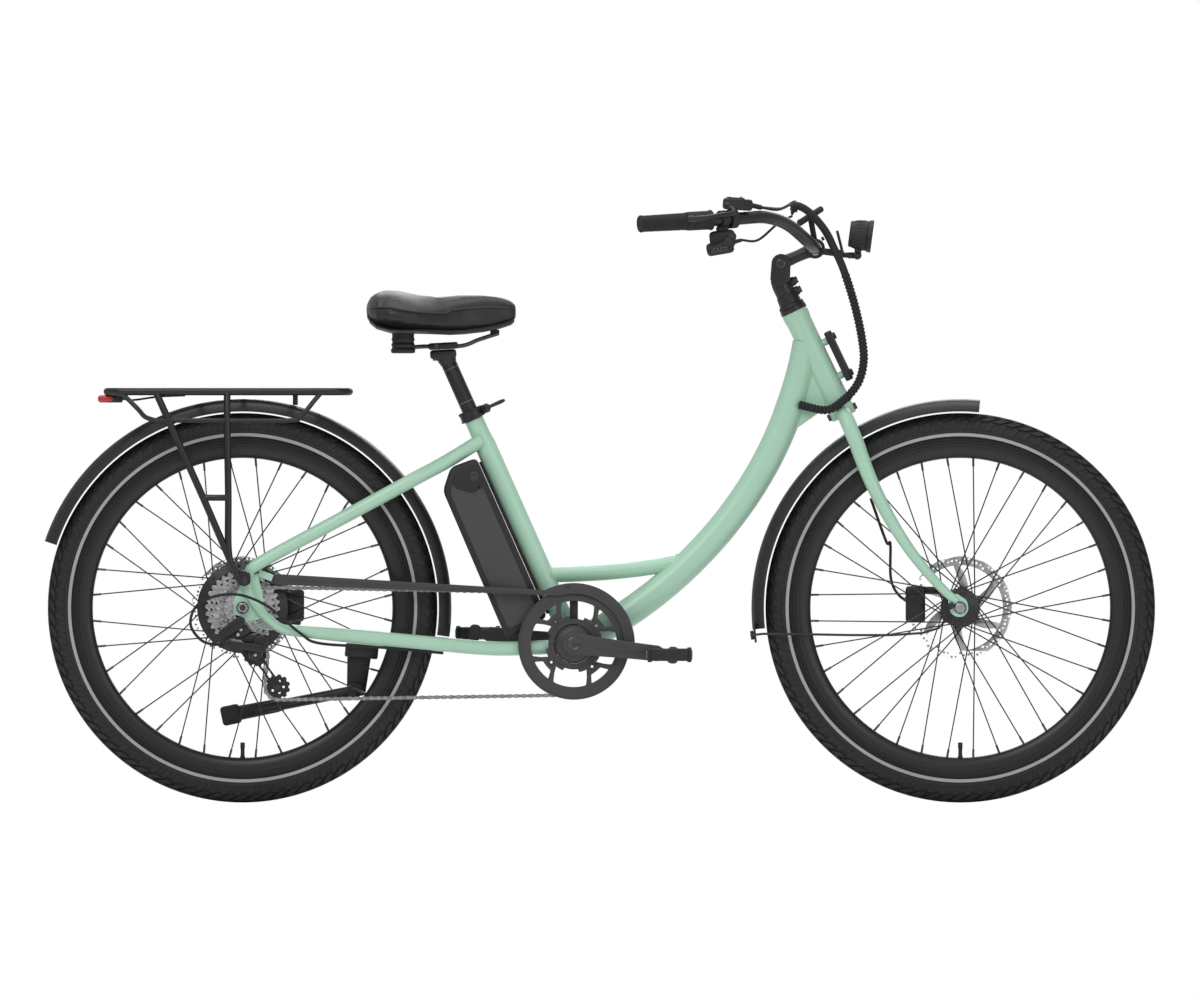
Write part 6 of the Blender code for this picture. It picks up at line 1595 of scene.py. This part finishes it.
def chain_guard():
    """Band over the upper chain and round the ring, with its bracket."""
    piece = Piece("guard_band", GREY)
    low, high = CHAIN_Y - 0.0125, CHAIN_Y - 0.0105
    outer = arc(CRANK, 0.1065, 118, -6, 40)
    inner = arc(CRANK, 0.0875, -6, 106, 40)
    piece.plate(spots(REAR, (0.047, 0.043), (0.043, 0.048), (0.046, 0.0555), (0.06, 0.059)) + outer + inner
            + [off(REAR, 0.06, 0.04)], low, high, bevel=0.0007, depth=2)
    piece.plate(arc(CRANK, 0.1062, 104, -5, 40) + arc(CRANK, 0.1042, -5, 104, 40), low + 0.001, -0.0415, bevel=0.0004)
    top_rear, top_front = off(REAR, 0.062, 0.0584), CRANK + direction(118) * 0.1062
    run = top_front - top_rear
    angle = math.degrees(math.atan2(run.z, run.x))
    piece.block((top_rear + top_front) / 2 + SIDE * (low + 0.0045) - Vector((0, 0, 0.0009)), (run.length, 0.008,
            0.0018), angle, 0.0005)
    piece.block((top_rear + top_front) / 2 + SIDE * (low - 0.0003) - Vector((0, 0, 0.0085)), (run.length * 0.9,
            0.0008, 0.0014), angle, 0.0003)
    piece.use(PLASTIC)
    piece.block(off(CRANK, 0, 0.064, -0.0423), (0.0145, 0.0025, 0.084), 0, 0.0008)
    piece.collar(off(CRANK, 0, 0, -0.0368), -SIDE, 0.0155, 0.0272, 0.0067, steps=48)
    piece.rod(off(REAR, 0.05, 0.051, low + 0.001), off(REAR, 0.05, 0.051, CHAIN_Y), 0.005)
    bolt(piece, off(REAR, 0.05, 0.051, low), -SIDE, 0.0046, 0.0022)
    bolt(piece, CRANK + direction(96) * 0.1015 + SIDE * low, -SIDE, 0.0036, 0.0016)
    piece.use(MINT)
    piece.block(off(REAR, 0.04, 0.056, -0.0715), (0.026, 0.004, 0.012), -20, 0.001)
    return piece.done("frame", ("chain_guard",))


# ---------------------------------------------------------------- brakes, axles, stand and cables
def caliper(name, node, body):
    """Two-piece caliper astride its disc."""
    piece = Piece(name, BLACK)
    disc = DISC_FACE - 0.0009
    if body == "steering":
        centre = off(FRONT, -0.078, 0.006)
        height, shift = 0.064, 1
    else:
        centre = off(REAR, 0.09, 0.004)
        height, shift = 0.056, -1
    for y, thick in ((disc - 0.0092, 0.013), (disc + 0.0099, 0.014)):
        piece.block(centre + SIDE * y, (0.034, thick * 0.98, height), 0, 0.005, segments=3)
        piece.block(centre + Vector((0, y, 0)), (0.024, thick * 1.04, height * 0.55), 0, 0.004, segments=3)
    piece.block(centre + Vector((-0.0125 * shift, 0.0432, 0)), (0.01, 0.0255, height * 0.92), 0, 0.003)
    for z in (-0.35, 0.35):
        bolt(piece, centre + Vector((-0.004 * shift, 0.0565, height * z)), SIDE, 0.0038, 0.0026)
        bolt(piece, centre + Vector((-0.004 * shift, 0.0262, height * z)), -SIDE, 0.0038, 0.002)
    piece.use(DARK_METAL)
    piece.lathe(centre + SIDE * 0.056, SIDE, [(0, 0.0105), (0.0014, 0.0102), (0.0022, 0.0085), (0.0012, 0.006),
            (0.0012, 0.001)], 32)
    piece.use(BLACK)
    if body == "steering":
        piece.block(off(centre, 0.024, 0.025, 0.0412), (0.034, 0.01, 0.012), 0, 0.003)
    else:
        piece.block(off(REAR, 0.092, -0.0243, 0.065), (0.02, 0.032, 0.011), -6, 0.003)
    return piece.done(body, (node,))


def axle(name, centre, node, body, dropout, reach):
    """Axle with washers and six-sided nuts."""
    piece = Piece(name, DARK_METAL)
    piece.rod(off(centre, 0, 0, -reach), off(centre, 0, 0, reach), 0.0055)
    for side in (-1, 1):
        base = (dropout + 0.0063) * side
        piece.use(DARK_METAL)
        piece.lathe(off(centre, 0, 0, base), SIDE * side, [(0, 0.006), (0, 0.0105), (0.0008, 0.0108),
                (0.0016, 0.0105), (0.0016, 0.006)], 36)
        other_profile = [(0.0016, 0.0095), (0.0085, 0.0095), (0.0094, 0.0082), (0.0094, 0.0058)]
        piece.use(STEEL)
        piece.lathe(off(centre, 0, 0, base), SIDE * side, other_profile, 6)
        piece.use(DARK_METAL)
        low, high = sorted(((dropout - 0.0003) * side, (dropout - 0.003) * side))
        piece.rod(off(centre, 0, 0, low), off(centre, 0, 0, high), 0.009)
    return piece.done(body, (node,))


def stand():
    """Kickstand bracket and folded leg."""
    pivot = off(CRANK, -0.382, -0.081, 0.052)
    piece = Piece("stand_bracket", BLACK)
    piece.plate(rounded(spots(CRANK, (-0.395, -0.018), (-0.353, -0.018), (-0.364, -0.09), (-0.396, -0.092)),
            0.006), 0.056, 0.064, bevel=0.001)
    piece.block(off(CRANK, -0.37, -0.0124, 0.0605), (0.058, 0.03, 0.024), -5.3, 0.003)
    piece.rod(off(pivot, 0, 0, 0.006), off(pivot, 0, 0, -0.017), 0.0045)
    bolt(piece, off(CRANK, -0.382, -0.028, 0.064), SIDE, 0.0048, 0.0035)
    bolt(piece, off(CRANK, -0.36, -0.026, 0.064), SIDE, 0.0048, 0.0035)
    bolt(piece, off(pivot, 0, 0, 0.012), SIDE, 0.007, 0.004)
    piece.done("frame", ("kickstand_bracket",))
    piece = Piece("stand_leg", BLACK)
    foot = off(pivot, -0.216, -0.042)
    piece.rod(off(pivot, 0, 0, -0.0155), off(pivot, 0, 0, 0.0034), 0.0135, edge=0.002)
    piece.sweep(smooth([pivot - SIDE * 0.0074, off(pivot, -0.03, -0.006, -0.004),
            off(pivot, -0.11, -0.0215, 0.003), off(foot, 0, 0, 0.01)], 6), 0.0095, sides=20)
    run = (foot - pivot).normalized()
    piece.use(SOFT)
    piece.sweep([off(foot, 0, 0, 0.01) - run * 0.09, off(foot, 0, 0, 0.01) - run * 0.082,
            off(foot, 0, 0, 0.01) - run * 0.01], 0.0125, [0.01, 0.0118, 0.0128], 20)
    piece.block(off(foot, 0, -0.0005, 0.01), (0.034, 0.03, 0.034), 12, 0.006, segments=3)
    piece.use(BLACK)
    piece.rod(off(pivot, -0.132, -0.036, 0.004), off(pivot, -0.132, -0.02, 0.004), 0.0085)
    piece.done("kickstand", ("kickstand_leg",))


def thin_lines():
    """Gear cable, front brake hose and the fender's wire stay."""
    piece = Piece("gear_cable", SOFT)
    route = smooth(spots(REAR, (0.35, -0.079, -0.046), (0.24, -0.069, -0.06), (0.135, -0.062, -0.074),
            (0.1, -0.044, -0.092), (0.046, 0.001, -0.104), (0.002, 0.021, -0.106), (-0.032, 0.023, -0.104),
            (-0.06, 0.016, -0.102), (-0.083, 0.0, -0.1), (-0.091, -0.027, -0.098), (-0.08, -0.049, -0.096),
            (-0.06, -0.062, -0.093), (-0.016, -0.066, -0.089)), 8)
    piece.sweep(route, 0.0025, sides=12)
    piece.use(STEEL)
    end, before = route[-1], route[-2]
    piece.rod(end - (end - before).normalized() * 0.012, end, 0.0033, steps=16)
    piece.done("frame", ("shift_cable",))
    piece = Piece("brake_hose", SOFT)
    route = smooth([steer(FORK_TOP - 0.17, -0.02, 0.068), steer(FORK_TOP - 0.25, -0.028, 0.071),
            off(FRONT, -0.122, 0.112, 0.073), off(FRONT, -0.121, 0.051, 0.07), off(FRONT, -0.107, 0.022, 0.064),
            off(FRONT, -0.088, 0.01, 0.0595)], 8)
    piece.sweep(route, 0.0025, sides=12)
    piece.use(DARK_METAL)
    piece.rod(route[-1] - (route[-1] - route[-2]).normalized() * 0.012, route[-1], 0.0038, steps=16)
    piece.done("steering", ("front_brake_hose",))
    piece = Piece("stay_wire", BLACK)
    rear, tip = FRONT + direction(187.5) * (TYRE_R + 0.008), FRONT + direction(187.5) * (FENDER_R + 0.0035)
    runs = []
    for side in (-1, 1):
        runs.append([off(FRONT, -0.016, 0.0035, 0.06 * side), off(FRONT, -0.066, -0.044, 0.056 * side), rear
                + SIDE * 0.041 * side, tip + SIDE * 0.036 * side])
    wire = smooth(runs[0][:3], 4) + [runs[0][3]] + [runs[1][3]] + list(reversed(smooth(runs[1][:3], 4)))
    piece.sweep(wire, 0.0021, sides=12)
    for side in (-1, 1):
        piece.lathe(off(FRONT, -0.016, 0.0035, 0.0563 * side), SIDE * side, [(0, 0.003), (0, 0.0058),
                (0.0062, 0.0058), (0.0062, 0.003)], 24, closed=True)
        bolt(piece, off(FRONT, -0.016, 0.0035, 0.06 * side), SIDE * side, 0.0042, 0.003)
    piece.block(FRONT + direction(187.5) * (FENDER_R + 0.002), (0.006, 0.046, 0.016), 7.5, 0.0015)
    piece.done("steering", ("fender_stay",))


# ---------------------------------------------------------------- everything
tyre("tyre_front", FRONT, "front_tyre", "front_wheel")
tyre("tyre_rear", REAR, "rear_tyre", "rear_wheel")
rim("rim_front", FRONT, "front_rim", "front_wheel")
rim("rim_rear", REAR, "rear_rim", "rear_wheel")
front_hub()
hub_motor()
rotor("disc_front", FRONT, "front_rotor", "front_wheel")
rotor("disc_rear", REAR, "rear_rotor", "rear_wheel")
front_fender()
rear_fender()
main_frame()
fork()
stem_base()
stem_link()
handlebar()
for word, side in (("right", -1), ("left", 1)):
    grip(word, side)
    brake_perch(word, side)
    brake_lever(word, side)
shifter()
shift_lever()
display()
lamp_bracket()
lamp()
loom()
bar_cables()
basket_bar()
seat_clamp()
clamp_lever()
seat_post()
saddle_frame()
saddle()
battery()
rack()
tail_light()
cassette()
chainring()
chain()
pulley("guide_wheel", GUIDE, "guide_pulley", "guide_pulley")
pulley("tension_wheel", TENSION, "tension_pulley", "tension_pulley")
cage()
derailleur()
cranks()
pedal("right", CRANK + direction(CRANK_PITCH) * CRANK_LENGTH, -1)
pedal("left", CRANK - direction(CRANK_PITCH) * CRANK_LENGTH, 1)
chain_guard()
caliper("caliper_front", "front_brake_caliper", "steering")
caliper("caliper_rear", "rear_brake_caliper", "frame")
axle("axle_front", FRONT, "front_axle", "steering", 0.050, 0.062)
axle("axle_rear", REAR, "rear_axle", "frame", 0.071, 0.088)
stand()
thin_lines()
for node in NODES.values():
    if not node.hide_render:
        node.data.materials.clear()
        node.data.materials.append(BLACK)

# ---------------------------------------------------------------- stage, light and camera
FLOOR = finish_of("studio_floor", (0.93, 0.93, 0.93), 0.75, vary=0.01)
other = bmesh.new()
bmesh.ops.create_grid(other, x_segments=2, y_segments=2, size=14)
mesh = bpy.data.meshes.new("floor")
other.to_mesh(mesh)
other.free()
mesh.materials.append(FLOOR)
floor = bpy.data.objects.new("floor", mesh)
floor.location.z = -0.0005
bpy.context.scene.collection.objects.link(floor)

world = bpy.data.worlds.new("studio")
bpy.context.scene.world = world
world.use_nodes = True
sky = world.node_tree.nodes["Background"]
sky.inputs["Color"].default_value = (1, 1, 1, 1)
seen = world.node_tree.nodes.new("ShaderNodeBackground")
seen.inputs["Color"].default_value = (1, 1, 1, 1)
seen.inputs["Strength"].default_value = 1.0
sky.inputs["Strength"].default_value = 0.38
path = world.node_tree.nodes.new("ShaderNodeLightPath")
mix = world.node_tree.nodes.new("ShaderNodeMixShader")
links = world.node_tree.links
links.new(path.outputs["Is Camera Ray"], mix.inputs["Fac"])
links.new(sky.outputs["Background"], mix.inputs[1])
links.new(seen.outputs["Background"], mix.inputs[2])
links.new(mix.outputs["Shader"], world.node_tree.nodes["World Output"].inputs["Surface"])


def lamp_panel(name, place, aim, size, power):
    """Rectangular light aimed at a point."""
    light = bpy.data.lights.new(name, "AREA")
    light.shape = "RECTANGLE"
    light.size, light.size_y = size
    light.energy = power
    made = bpy.data.objects.new(name, light)
    made.location = place
    made.rotation_euler = (Vector(aim) - Vector(place)).to_track_quat("-Z", "Y").to_euler()
    bpy.context.scene.collection.objects.link(made)


lamp_panel("key", (-1.6, -3.2, 3.4), (0, 0, 0.5), (3.0, 2.0), 62)
lamp_panel("fill", (2.6, -3.6, 1.8), (0, 0, 0.5), (2.4, 2.4), 26)
lamp_panel("top", (0, 0.3, 4.2), (0, 0, 0.4), (4.5, 2.0), 60)
lamp_panel("rim", (0.5, 3.6, 2.6), (0, 0, 0.5), (3.0, 1.6), 45)

view = bpy.data.cameras.new("camera")
view.type = "ORTHO"
view.ortho_scale = 2.093
view.dof.use_dof = False
view.clip_end = 50
camera = bpy.data.objects.new("camera", view)
camera.location = (0, -6.0, 0.528)
camera.rotation_euler = (math.radians(90), 0, 0)
bpy.context.scene.collection.objects.link(camera)
bpy.context.scene.camera = camera
bpy.context.scene.view_settings.view_transform = "Standard"
